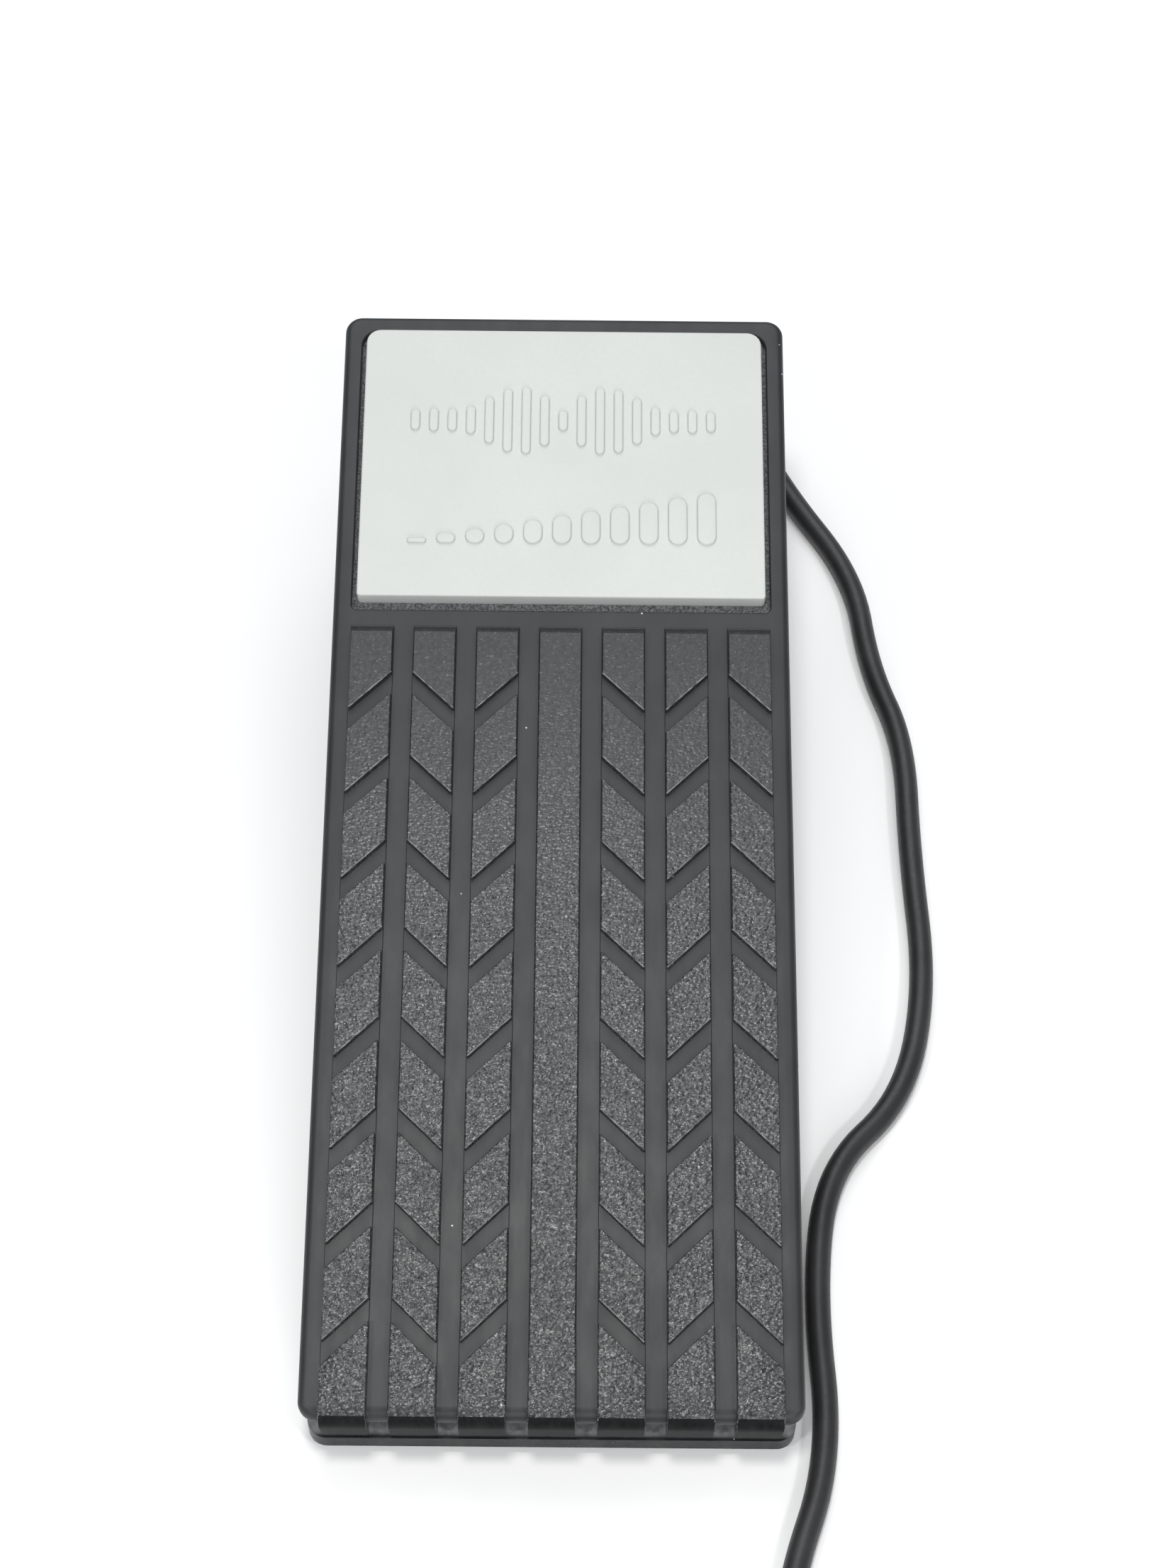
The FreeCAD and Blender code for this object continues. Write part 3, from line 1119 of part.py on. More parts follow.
def build_all():
    board, spacers, board_screw_group = terminal_board()
    washer, nut = pot_fasteners()
    level_pot, level_nut, knob, level_shaft = level_control()
    heel_pad, toe_pad = stop_pads()
    boot, grip, sleeve, insulators, ring, tip = plug()
    nodes = {
        "base_shell": base_shell(), "bottom_cover": bottom_cover(), "cover_screws": cover_screws(),
        "pot_bracket": pot_bracket(), "bracket_screws": bracket_screws(),
        "pot_body": pot_body(), "pot_washer": washer, "pot_nut": nut,
        "heel_stop_pad": heel_pad, "toe_stop_pad": toe_pad,
        "level_pot_body": level_pot, "level_pot_nut": level_nut,
        "terminal_board": board, "board_spacers": spacers, "board_screws": board_screw_group,
        "inner_wires": inner_wires(), "cord_gland": cord_gland(),
        "cord_tube": tube_piece("cord_tube", CORD_ROUTE, size("cord_radius")), "cord_coil": cord_coil(),
        "cord_tail": tube_piece("cord_tail", TAIL_ROUTE, size("cord_radius")),
        "plug_boot": boot, "plug_grip": grip, "plug_sleeve": sleeve, "plug_insulators": insulators,
        "plug_ring": ring, "plug_tip": tip,
        "treadle_shell": treadle_shell(), "badge_plate": badge_plate(),
        "pivot_shaft": pivot_shaft(), "shaft_clips": shaft_clips(),
        "gear_sector": gear_sector(), "sector_screws": sector_screws(),
        "drive_pinion": drive_pinion(), "pot_shaft": pot_shaft(),
        "level_knob": knob, "level_pot_shaft": level_shaft,
    }
    for name, piece in zip(("foot_heel_left", "foot_heel_right", "foot_toe_left", "foot_toe_right"), feet()):
        nodes[name] = piece
    for name, piece in zip(("bush_left", "bush_right"), bushes()):
        nodes[name] = piece
    return nodes


def write_parts(nodes):
    DOC.recompute()
    for thing in DOC.Objects:
        assert not {"Invalid", "Error"} & set(thing.State), f"{thing.Name} failed"
    os.makedirs("parts", exist_ok=True)
    for name, piece in nodes.items():
        piece.Label = name
        shape = piece.Shape
        assert not shape.isNull() and shape.isValid(), f"{name} has no valid shape"
        assert shape.Solids, f"{name} has no solid"
        shape.exportStep(f"parts/{name}.step")
        print(f"{name:18} solids {len(shape.Solids):2} volume {shape.Volume:10.1f}")


write_parts(build_all())
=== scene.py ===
import math

import bmesh
import bpy
from mathutils import Matrix, Vector
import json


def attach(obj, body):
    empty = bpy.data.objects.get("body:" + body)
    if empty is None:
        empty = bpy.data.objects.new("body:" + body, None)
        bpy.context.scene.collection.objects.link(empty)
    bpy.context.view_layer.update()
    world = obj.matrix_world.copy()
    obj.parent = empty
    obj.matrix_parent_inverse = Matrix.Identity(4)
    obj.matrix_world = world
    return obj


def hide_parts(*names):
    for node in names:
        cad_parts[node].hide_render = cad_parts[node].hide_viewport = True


# A volume pedal, in metres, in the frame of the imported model: +Z up, +Y to the toe, +X to the right.

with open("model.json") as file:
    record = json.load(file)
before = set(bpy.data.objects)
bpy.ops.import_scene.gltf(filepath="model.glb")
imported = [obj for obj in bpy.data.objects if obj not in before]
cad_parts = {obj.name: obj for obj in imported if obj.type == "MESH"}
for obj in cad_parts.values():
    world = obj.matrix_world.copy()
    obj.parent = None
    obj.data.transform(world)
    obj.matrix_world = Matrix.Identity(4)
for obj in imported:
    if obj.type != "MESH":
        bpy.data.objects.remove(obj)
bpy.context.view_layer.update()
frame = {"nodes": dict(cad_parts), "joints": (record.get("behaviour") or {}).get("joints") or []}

MM = 0.001
# the treadle at rest: its tilt, its pivot, and the pivot's place seen from the heel edge's middle on its top
TILT = math.radians(12)
PIVOT = Vector(next(joint for joint in frame["joints"] if joint["name"] == "treadle_rock")["pos_m"])
PIVOT_AHEAD, TOP_RISE = 120.6 * MM, 14.4 * MM


# ---------------------------------------------------------------- camera, light and floor

CAMERA_PLACE = (0.00394, -0.3158, 0.51566)
CAMERA_TURN = (34.117, -0.449, 0.321)
CAMERA_LENS = 64.92
CAMERA_SENSOR = 36.0
CAMERA_NEAR = 0.01
SKY_TINT = (0.93, 0.96, 1.0, 1)
SKY_STRENGTH = 0.36
FLOOR_REACH = 6.0


def show(thing):
    bpy.context.scene.collection.objects.link(thing)


def make_camera():
    """The camera, above and behind the heel, looking down along the treadle."""
    data = bpy.data.cameras.new("camera")
    data.lens = CAMERA_LENS
    data.sensor_width = CAMERA_SENSOR
    data.clip_start = CAMERA_NEAR
    camera = bpy.data.objects.new("camera", data)
    camera.location = CAMERA_PLACE
    camera.rotation_euler = [math.radians(angle) for angle in CAMERA_TURN]
    show(camera)
    bpy.context.scene.camera = camera


def make_light(name, place, aim, wide, power, tint=(1, 1, 1)):
    """A round lamp, wide metres across, that points at aim."""
    data = bpy.data.lights.new(name, "AREA")
    data.shape = "DISK"
    data.size = wide
    data.energy = power
    data.color = tint
    light = bpy.data.objects.new(name, data)
    light.location = place
    light.rotation_euler = (Vector(aim) - Vector(place)).to_track_quat("-Z", "Y").to_euler()
    show(light)


def make_studio():
    """A pale sky, lamps at the toe, above and at the heel, and the white floor."""
    world = bpy.data.worlds.new("studio")
    world.use_nodes = True
    background = world.node_tree.nodes["Background"]
    background.inputs["Color"].default_value = SKY_TINT
    background.inputs["Strength"].default_value = SKY_STRENGTH
    bpy.context.scene.world = world
    bpy.context.scene.view_settings.view_transform = "Standard"
    make_light("toe_softbox", (0.0, 0.78, 1.25), (0, 0.08, 0.04), wide=1.1, power=8.0,
               tint=(0.95, 0.98, 1.0))
    make_light("overhead_lamp", (-0.05, -0.15, 0.95), (-0.01, -0.10, 0.02), wide=0.14, power=2.9,
               tint=(1, 0.985, 0.96))
    make_light("heel_lamp_left", (-0.52, -0.60, 0.87), (0, -0.06, 0.04), wide=0.15, power=3.0)
    make_light("heel_lamp_right", (0.52, -0.60, 0.87), (0, -0.06, 0.04), wide=0.15, power=2.4)
    make_light("heel_fill", (0.15, -1.15, 0.42), (0, -0.05, 0.04), wide=0.5, power=4.0)
    corners = [(-1, -1), (1, -1), (1, 1), (-1, 1)]
    floor = mesh_object("floor", [(x * FLOOR_REACH, y * FLOOR_REACH, 0) for x, y in corners],
                        [(0, 1, 2, 3)], plain_floor())


# ---------------------------------------------------------------- material nodes


class Nodes:
    """A material's node tree, with short ways to add what the materials here share."""

    def __init__(self, name):
        self.material = bpy.data.materials.new(name)
        self.material.use_nodes = True
        self.tree = self.material.node_tree
        self.shader = self.tree.nodes["Principled BSDF"]
        self.place = self.add("ShaderNodeTexCoord").outputs["Object"]

    def add(self, kind, **settings):
        node = self.tree.nodes.new(kind)
        for name, value in settings.items():
            setattr(node, name, value)
        return node

    def link(self, source, target):
        self.tree.links.new(source, target)

    def noise(self, grain, detail=2.0, rough=0.5, stretch=None):
        """A noise whose patches are about grain metres across."""
        node = self.add("ShaderNodeTexNoise")
        node.inputs["Scale"].default_value = 1 / grain
        node.inputs["Detail"].default_value = detail
        node.inputs["Roughness"].default_value = rough
        self.link(self.stretched(stretch), node.inputs["Vector"])
        return node.outputs["Fac"]

    def cells(self, grain, feature="F1", stretch=None, output="Distance"):
        """A pattern of cells about grain metres across."""
        node = self.add("ShaderNodeTexVoronoi", feature=feature)
        node.inputs["Scale"].default_value = 1 / grain
        self.link(self.stretched(stretch), node.inputs["Vector"])
        return node.outputs[output]

    def stretched(self, stretch):
        """The place on the piece, scaled along each axis; a pattern gets long where the scale is small."""
        if stretch is None:
            return self.place
        node = self.add("ShaderNodeMapping")
        node.inputs["Scale"].default_value = stretch
        self.link(self.place, node.inputs["Vector"])
        return node.outputs["Vector"]

    def ramp(self, factor, low, high, start=0.0, end=1.0):
        """The factor between low and high, mapped from start to end and held there."""
        node = self.add("ShaderNodeMapRange")
        node.inputs["From Min"].default_value = low
        node.inputs["From Max"].default_value = high
        node.inputs["To Min"].default_value = start
        node.inputs["To Max"].default_value = end
        self.link(factor, node.inputs["Value"])
        return node.outputs["Result"]

    def mix(self, factor, first, second):
        """A colour between two, each a colour or an output."""
        node = self.add("ShaderNodeMix", data_type="RGBA")
        self.link(factor, node.inputs["Factor"])
        for socket, value in ((node.inputs[6], first), (node.inputs[7], second)):
            if isinstance(value, tuple):
                socket.default_value = (*value, 1)
            else:
                self.link(value, socket)
        return node.outputs[2]

    def math(self, operation, first, second):
        """One operation on two values, each a number or an output."""
        node = self.add("ShaderNodeMath", operation=operation)
        for socket, value in zip(node.inputs, (first, second)):
            if isinstance(value, (int, float)):
                socket.default_value = value
            else:
                self.link(value, socket)
        return node.outputs[0]

    def bump(self, height, depth, below=None):
        """A bump depth metres deep, on top of the bump below."""
        node = self.add("ShaderNodeBump")
        node.inputs["Strength"].default_value = 1.0
        node.inputs["Distance"].default_value = depth
        self.link(height, node.inputs["Height"])
        if below is not None:
            self.link(below, node.inputs["Normal"])
        return node.outputs["Normal"]

    def finish(self, colour, rough, normal=None, **sockets):
        """Feed the shader and give back the material; a socket's spaces are written as underscores."""
        for name, value in (("Base Color", colour), ("Roughness", rough), ("Normal", normal)):
            if value is None:
                continue
            if isinstance(value, tuple):
                self.shader.inputs[name].default_value = (*value, 1)
            elif isinstance(value, float):
                self.shader.inputs[name].default_value = value
            else:
                self.link(value, self.shader.inputs[name])
        for name, value in sockets.items():
            self.shader.inputs[name.replace("_", " ")].default_value = value
        return self.material


def dust(nodes, colour, share=0.035, grain=0.006, speck=(0.72, 0.76, 0.84)):
    """Tiny pale specks of dust, few and far between."""
    spots = nodes.cells(grain)
    pick = nodes.cells(grain, output="Color")
    apart = nodes.add("ShaderNodeSeparateColor")
    nodes.link(pick, apart.inputs["Color"])
    small = nodes.ramp(spots, share, share * 0.45)
    chosen = nodes.ramp(apart.outputs["Red"], 0.60, 0.62)
    return nodes.mix(nodes.math("MULTIPLY", small, chosen), colour, speck)


def plain_floor():
    """White paper, a trace greyer in patches."""
    nodes = Nodes("floor_paper")
    patches = nodes.noise(0.3)
    return nodes.finish(nodes.mix(patches, (0.94, 0.94, 0.94), (0.97, 0.97, 0.97)), 0.9)


def smooth_charcoal():
    """The treadle's smooth moulded surface: fine satin, a little uneven, with some dust."""
    nodes = Nodes("treadle_smooth")
    cloud = nodes.noise(0.012, 3.0)
    streak = nodes.noise(0.004, 4.0, 0.6, (1.0, 0.25, 1.0))
    colour = nodes.mix(nodes.ramp(cloud, 0.35, 0.65), (0.010, 0.012, 0.0135), (0.016, 0.018, 0.020))
    colour = dust(nodes, colour)
    rough = nodes.ramp(streak, 0.3, 0.7, 0.44, 0.52)
    skin = nodes.bump(nodes.noise(0.0004, 2.0), 0.000012)
    return nodes.finish(colour, rough, skin)


def grained_charcoal():
    """The tread's coarse spark-eroded grain: sharp little facets that catch the light.

    It is coarse at the heel and fine and faint towards the toe; towards the heel its colour is also painted
    lighter, with painted glints, where the overhead lamp shines back.
    """
    nodes = Nodes("tread_grain")
    where = nodes.add("ShaderNodeSeparateXYZ")
    nodes.link(nodes.place, where.inputs["Vector"])
    coarse_and_lit = nodes.ramp(where.outputs["Y"], 0.045, -0.030, 0.22, 1.0)
    facets = nodes.cells(0.0009, "F1", (1.0, 1.3, 1.3))
    pits = nodes.noise(0.0007, 2.0, 0.6, (1.0, 1.3, 1.3))
    height = nodes.math("ADD", nodes.ramp(facets, 0.0, 0.8), pits)
    normal = nodes.bump(nodes.math("MULTIPLY", height, coarse_and_lit), 0.00012)
    # the grain's tone; its lighter flecks grow towards the heel as painted light
    tint = nodes.math("MULTIPLY", nodes.ramp(nodes.noise(0.0009, 2.0), 0.35, 0.68), coarse_and_lit)
    colour = nodes.mix(tint, (0.013, 0.0145, 0.016), (0.050, 0.053, 0.055))
    # painted highlight: pale flecks painted into the colour as glints, strongest at the heel
    painted_glint = nodes.ramp(nodes.noise(0.0006, 1.0, 0.5, (1.0, 1.4, 1.4)), 0.64, 0.72)
    colour = nodes.mix(nodes.math("MULTIPLY", painted_glint, coarse_and_lit), colour, (0.20, 0.20, 0.195))
    colour = dust(nodes, colour, 0.03, 0.008)
    polish = nodes.math("MULTIPLY", coarse_and_lit, 0.23)
    rough = nodes.math("SUBTRACT", nodes.ramp(pits, 0.3, 0.7, 0.42, 0.54), polish)
    return nodes.finish(colour, rough, normal)


def worn_edge_painted_highlight():
    """The blocks' top edges, where shoes have polished the grain away; their pale colour is a painted
    highlight.
    """
    nodes = Nodes("worn_edge_painted_highlight")
    wear_and_highlight = nodes.noise(0.0015, 3.0)
    # painted highlight: the edges are painted pale grey, far lighter than the grain, where the heel lamps
    # shine back
    colour = nodes.mix(nodes.ramp(wear_and_highlight, 0.35, 0.65), (0.09, 0.092, 0.094), (0.34, 0.345, 0.345))
    return nodes.finish(colour, nodes.ramp(wear_and_highlight, 0.3, 0.7, 0.20, 0.34), nodes.bump(wear_and_highlight, 0.00001))


def painted_shade_front():
    """The claws' upright fronts: plain black moulding with faint scuffs, painted darker than the grain as
    painted shade.
    """
    nodes = Nodes("claw_front_painted_shade")
    scuffs = nodes.noise(0.0012, 3.0, 0.6, (1.0, 1.0, 0.3))
    # painted shade: the fronts are coloured near black so that they read as lying in the heel's shadow
    colour = nodes.mix(nodes.ramp(scuffs, 0.35, 0.7), (0.006, 0.0065, 0.007), (0.013, 0.0135, 0.014))
    return nodes.finish(colour, 0.55, nodes.bump(scuffs, 0.00002), Specular_IOR_Level=0.08)


def pocket_grain():
    """The pitted floor of the badge's pocket."""
    nodes = Nodes("pocket_grain")
    pits = nodes.noise(0.0005, 3.0, 0.65)
    colour = nodes.mix(nodes.ramp(pits, 0.40, 0.66), (0.030, 0.033, 0.036), (0.17, 0.175, 0.18))
    return nodes.finish(colour, 0.55, nodes.bump(pits, 0.00025))


def badge_plastic():
    """Pale grey-green moulding with a very fine matt skin, a trace greyer in patches."""
    nodes = Nodes("badge_plastic")
    cloud = nodes.noise(0.02, 3.0)
    fine = nodes.noise(0.0006, 2.0)
    colour = nodes.mix(nodes.ramp(cloud, 0.35, 0.65), (0.525, 0.545, 0.525), (0.548, 0.566, 0.547))
    colour = nodes.mix(nodes.ramp(fine, 0.30, 0.75, 0.0, 0.25), colour, (0.49, 0.508, 0.49))
    skin = nodes.bump(nodes.noise(0.00035, 3.0), 0.00003)
    return nodes.finish(colour, nodes.ramp(fine, 0.3, 0.7, 0.52, 0.62), skin)


def base_plastic():
    """The base's black moulding, scuffed lengthways."""
    nodes = Nodes("base_plastic")
    cloud = nodes.noise(0.015, 3.0)
    scuffs = nodes.noise(0.002, 4.0, 0.6, (1.0, 0.2, 1.0))
    colour = nodes.mix(nodes.ramp(cloud, 0.3, 0.7), (0.012, 0.013, 0.014), (0.020, 0.021, 0.023))
    colour = dust(nodes, colour, 0.02, 0.007)
    # painted highlight: the strip of deck under the treadle's heel, seen between the claws, is painted light
    # grey in patches where the glossy deck shines
    where = nodes.add("ShaderNodeSeparateXYZ")
    nodes.link(nodes.place, where.inputs["Vector"])
    facing = nodes.add("ShaderNodeSeparateXYZ")
    nodes.link(nodes.add("ShaderNodeTexCoord").outputs["Normal"], facing.inputs["Vector"])
    painted_deck_highlight = nodes.math("MULTIPLY", nodes.ramp(where.outputs["Y"], -0.108, -0.114),
                       nodes.ramp(where.outputs["Y"], -0.1196, -0.1186))
    painted_deck_highlight = nodes.math("MULTIPLY", painted_deck_highlight, nodes.ramp(facing.outputs["Z"], 0.6, 0.9))
    painted_deck_highlight = nodes.math("MULTIPLY", painted_deck_highlight, nodes.ramp(nodes.noise(0.0018, 4.0), 0.30, 0.60, 0.45, 0.95))
    colour = nodes.mix(painted_deck_highlight, colour, (0.34, 0.355, 0.355))
    rough = nodes.ramp(scuffs, 0.35, 0.65, 0.24, 0.36)
    skin = nodes.bump(nodes.noise(0.0005, 2.0), 0.00001)
    return nodes.finish(colour, rough, skin, Specular_IOR_Level=0.10)


def metal(name, colour, rough, grain=(1.0, 1.0, 1.0), spread=0.08):
    """A metal with fine working marks, stretched along where grain is small."""
    nodes = Nodes(name)
    marks = nodes.noise(0.0006, 3.0, 0.6, grain)
    cloud = nodes.noise(0.006, 2.0)
    darker = tuple(channel * 0.82 for channel in colour)
    tint = nodes.mix(nodes.ramp(cloud, 0.3, 0.7), darker, colour)
    return nodes.finish(tint, nodes.ramp(marks, 0.3, 0.7, rough - spread, rough + spread),
                        nodes.bump(marks, 0.000006), Metallic=1.0)


def rubber(name, colour, rough, pattern, depth, specks=True):
    """A matt rubber whose skin is a pattern of that size, in metres, and depth."""
    nodes = Nodes(name)
    skin = nodes.noise(pattern, 3.0, 0.6)
    cloud = nodes.noise(0.01, 3.0)
    paler = tuple(channel * 1.5 + 0.004 for channel in colour)
    tint = nodes.mix(nodes.ramp(cloud, 0.3, 0.7), colour, paler)
    if specks:
        tint = dust(nodes, tint, 0.03, 0.007)
    uneven = nodes.ramp(skin, 0.3, 0.7, rough - 0.08, rough + 0.06)
    return nodes.finish(tint, uneven, nodes.bump(skin, depth))


def plastic(name, colour, rough, depth=0.000015):
    """A plain moulding with a fine skin."""
    nodes = Nodes(name)
    skin = nodes.noise(0.0005, 2.0)
    cloud = nodes.noise(0.008, 3.0)
    darker = tuple(channel * 0.86 for channel in colour)
    tint = nodes.mix(nodes.ramp(cloud, 0.3, 0.7), darker, colour)
    uneven = nodes.ramp(skin, 0.3, 0.7, rough - 0.06, rough + 0.06)
    return nodes.finish(tint, uneven, nodes.bump(skin, depth))


def painted_sheet():
    """Black crackle paint on the bottom cover."""
    nodes = Nodes("cover_paint")
    crackle = nodes.cells(0.0011, "SMOOTH_F1")
    cloud = nodes.noise(0.02, 3.0)
    colour = nodes.mix(nodes.ramp(cloud, 0.3, 0.7), (0.018, 0.018, 0.020), (0.030, 0.030, 0.032))
    return nodes.finish(colour, nodes.ramp(crackle, 0.1, 0.6, 0.35, 0.55), nodes.bump(crackle, 0.00006))


def laminate():
    """The solder board's brown paper laminate, with its fibres."""
    nodes = Nodes("board_laminate")
    fibres = nodes.noise(0.0007, 4.0, 0.6, (0.3, 1.0, 1.0))
    colour = nodes.mix(nodes.ramp(fibres, 0.3, 0.7), (0.20, 0.11, 0.04), (0.33, 0.19, 0.07))
    return nodes.finish(colour, nodes.ramp(fibres, 0.3, 0.7, 0.35, 0.5), nodes.bump(fibres, 0.00002))


# ---------------------------------------------------------------- mesh tools


# an edge is shaded sharp from this angle on, in degrees
SHARP_FROM = 40


def mesh_object(name, points, faces, material):
    """A mesh object with one material or a list of them."""
    mesh = bpy.data.meshes.new(name)
    mesh.from_pydata([tuple(point) for point in points], [], faces)
    piece = bpy.data.objects.new(name, mesh)
    show(piece)
    tidy_mesh(mesh)
    for slot_material in material if isinstance(material, list) else [material]:
        mesh.materials.append(slot_material)
    return piece


def tidy_mesh(mesh):
    """Turn every face outwards, and shade smooth over all edges but the sharp ones."""
    work = bmesh.new()
    work.from_mesh(mesh)
    bmesh.ops.recalc_face_normals(work, faces=work.faces)
    for face in work.faces:
        face.smooth = True
    for edge in work.edges:
        edge.smooth = len(edge.link_faces) != 2 or edge.calc_face_angle(0) < math.radians(SHARP_FROM)
    work.to_mesh(mesh)
    work.free()


class Build:
    """Points and faces of one mesh, made of closed stacks of rings."""

    def __init__(self):
        self.points = []
        self.faces = []
        self.marks = []

    def stack(self, rings, mark=0):
        """Join rings of equally many points with quads, and cap the first and the last.

        The mark is the number of the material.
        """
        start = len(self.points)
        count = len(rings[0])
        for ring in rings:
            self.points += [Vector(point) for point in ring]
        for row in range(len(rings) - 1):
            low = start + row * count
            high = low + count
            for index in range(count):
                after = (index + 1) % count
                self.add((low + index, low + after, high + after, high + index), mark)
        last = start + (len(rings) - 1) * count
        self.add(tuple(start + index for index in reversed(range(count))), mark)
        self.add(tuple(last + index for index in range(count)), mark)

    def add(self, face, mark):
        self.faces.append(face)
        self.marks.append(mark)

    def piece(self, name, materials, turn=None):
        """The object made of everything added so far."""
        made = mesh_object(name, self.points, self.faces, materials)
        for polygon, mark in zip(made.data.polygons, self.marks):
            polygon.material_index = mark
        if turn is not None:
            made.data.transform(turn)
        return made


def inset_ring(corners, radii, steps, inset):
    """A closed outline, anticlockwise, with rounded corners, moved inwards.

    A corner of radius 0 stays sharp. A rounded one keeps a little of its radius however far it moves.
    """
    least_share = 0.02
    points = []
    count = len(corners)
    for index, radius in enumerate(radii):
        before, here, after = (Vector(corners[(index + move) % count]) for move in (-1, 0, 1))
        arriving, leaving = (here - before).normalized(), (after - here).normalized()
        first, second = Vector((-arriving.y, arriving.x)), Vector((-leaving.y, leaving.x))
        inward = (first + second) / (1 + first.dot(second))
        if radius <= 0:
            points.append(here + inward * inset)
            continue
        centre = here + inward * radius
        left = max(radius - inset, radius * least_share)
        start = math.atan2(-first.y, -first.x)
        turn = (math.atan2(-second.y, -second.x) - start + math.pi) % (2 * math.pi) - math.pi
        for step in range(steps + 1):
            angle = start + turn * step / steps
            points.append(centre + Vector((math.cos(angle), math.sin(angle))) * left)
    return points


def quarter_turn(steps):
    """The angles from 0 to a right angle, in equal steps."""
    return [math.pi / 2 * step / steps for step in range(steps + 1)]


def between(first, second, share):
    return first + (second - first) * share


def at_height(ring, z):
    return [Vector((point.x, point.y, z)) for point in ring]


def on_treadle():
    """From the treadle's own frame to the world; its origin is the heel edge's middle on the smooth top."""
    from_pivot = Matrix.Translation((0, -PIVOT_AHEAD, TOP_RISE))
    return Matrix.Translation(PIVOT) @ Matrix.Rotation(TILT, 4, "X") @ from_pivot


def lathe(build, profile, place, turns=48, wave=None):
    """A turned solid about an axis through place along -X: profile is (distance, radius) pairs."""
    rings = []
    for along, radius in profile:
        ring = []
        for step in range(turns):
            angle = 2 * math.pi * step / turns
            reach = radius * (wave(along, angle) if wave else 1)
            ring.append((place.x - along, place.y + reach * math.cos(angle),
                         place.z + reach * math.sin(angle)))
        rings.append(ring)
    build.stack(rings)


# ---------------------------------------------------------------- cord

CORD_RADIUS = 2.5 * MM
CORD_ROUTE = [
    (-5, 138, 9.0), (-5, 148, 8.6), (-0.5, 158, 5.0), (11, 162.8, 2.8), (22.5, 160, 2.6), (32.5, 151, 2.6),
    (43.6, 136.2, 2.6), (51.9, 115.5, 2.6), (67, 90, 2.6), (69.2, 64, 2.6), (76, 44, 2.6), (75.5, 14, 2.6),
    (77, -18, 2.6), (71, -45, 2.6), (54.5, -61, 2.6), (50.8, -88, 2.6), (53, -121, 2.6), (43.5, -147, 2.6),
    (42.8, -166, 2.6), (42.4, -183, 2.6),
]
COIL_MIDDLE = (7.3, -189.0)
COIL_RADIUS = 35.0
COIL_STEP = 5.0
COIL_TURNS = 4
COIL_LAYERS = (2.6, 7.6)
# the share of a turn by which the coil overruns its last full one, and that in which it climbs a layer
COIL_OVERRUN, CLIMB_SHARE = 0.25, 0.5
TAIL_ROUTE = [(1, -224.3, 7.6), (-10.5, -225.4, 7.4), (-22, -226, 7.0), (-34, -226, 7.0)]
POINTS_PER_TURN = 16


def coil_points():
    """Two layers of turns a diameter apart: inwards below, up at the middle, and outwards on top."""
    # a spline of order 3 runs inside its control points by this share
    outside = 1 / (0.75 + 0.25 * math.cos(2 * math.pi / POINTS_PER_TURN))
    points = []
    all_turns = 2 * COIL_TURNS
    for step in range(round((all_turns + COIL_OVERRUN) * POINTS_PER_TURN)):
        turn = step / POINTS_PER_TURN
        turns_in = min(turn, all_turns - min(turn, all_turns))
        radius = (COIL_RADIUS - COIL_STEP * turns_in) * outside
        climb = min(max((turn - COIL_TURNS + CLIMB_SHARE / 2) / CLIMB_SHARE, 0), 1)
        height = between(*COIL_LAYERS, climb * climb * (3 - 2 * climb))
        angle = -2 * math.pi * turn
        points.append((COIL_MIDDLE[0] + radius * math.cos(angle),
                       COIL_MIDDLE[1] + radius * math.sin(angle), height))
    return points


def make_cord():
    """The cord from the gland to the plug, as one curve."""
    data = bpy.data.curves.new("cord", "CURVE")
    data.dimensions = "3D"
    data.bevel_depth = CORD_RADIUS
    data.bevel_resolution = 8
    data.use_fill_caps = True
    data.resolution_u = 10
    route = CORD_ROUTE + coil_points() + TAIL_ROUTE
    spline = data.splines.new("NURBS")
    spline.points.add(len(route) - 1)
    for point, (x, y, z) in zip(spline.points, route):
        point.co = (x * MM, y * MM, z * MM, 1)
    spline.order_u = 3
    spline.use_endpoint_u = True
    cord = bpy.data.objects.new("cord", data)
    show(cord)
    data.materials.append(rubber("cord_jacket", (0.013, 0.013, 0.014), 0.46, 0.0007, 0.000012))
    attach(cord, "base")
    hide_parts("cord_tube", "cord_coil", "cord_tail")
    return cord


# ---------------------------------------------------------------- treadle

WIDE, LONG = 94.0 * MM, 235.0 * MM
PLATE, SKIRT, SKIRT_WALL = 3.0 * MM, 10.5 * MM, 2.5 * MM
TOE_CORNER, HEEL_CORNER = 3.6 * MM, 3.4 * MM
EDGE_ROUND, HEEL_ROUND = 1.5 * MM, 2.6 * MM
HEEL_INSET = 4.0 * MM
BAND_WIDE, BAND_PITCH, BAND_RISE = 8.9 * MM, 12.87 * MM, 2.0 * MM
BAND_END, BAND_SLOPE = 161.3 * MM, 1.8 * MM
BAND_LEANS = (1, -1, 1, 0, -1, 1, -1)
NOTCH_FIRST, NOTCH_PITCH, NOTCH_LONG, NOTCH_CLIMB = 15.8 * MM, 18.28 * MM, 4.2 * MM, 8.5 * MM
NOTCH_ROWS = 8
CLAW_OUT, CLAW_DEEP, CLAW_ROUND = 1.4 * MM, 9.3 * MM, 4.0 * MM
BLOCK_EDGE = 0.36 * MM
BED_RISE = 0.35 * MM
HEEL_FRONT = -115 * MM
WORN_HIGHLIGHT_AREA = 2.5 * MM * MM
BLOCK_DRAFT = 0.16 * MM
BADGE_WIDE, BADGE_START, BADGE_LONG, BADGE_TOP = 84.2 * MM, 167.2 * MM, 63.1 * MM, 2.2 * MM
BADGE_CORNER, BADGE_HEEL_CORNER = 3.0 * MM, 0.8 * MM
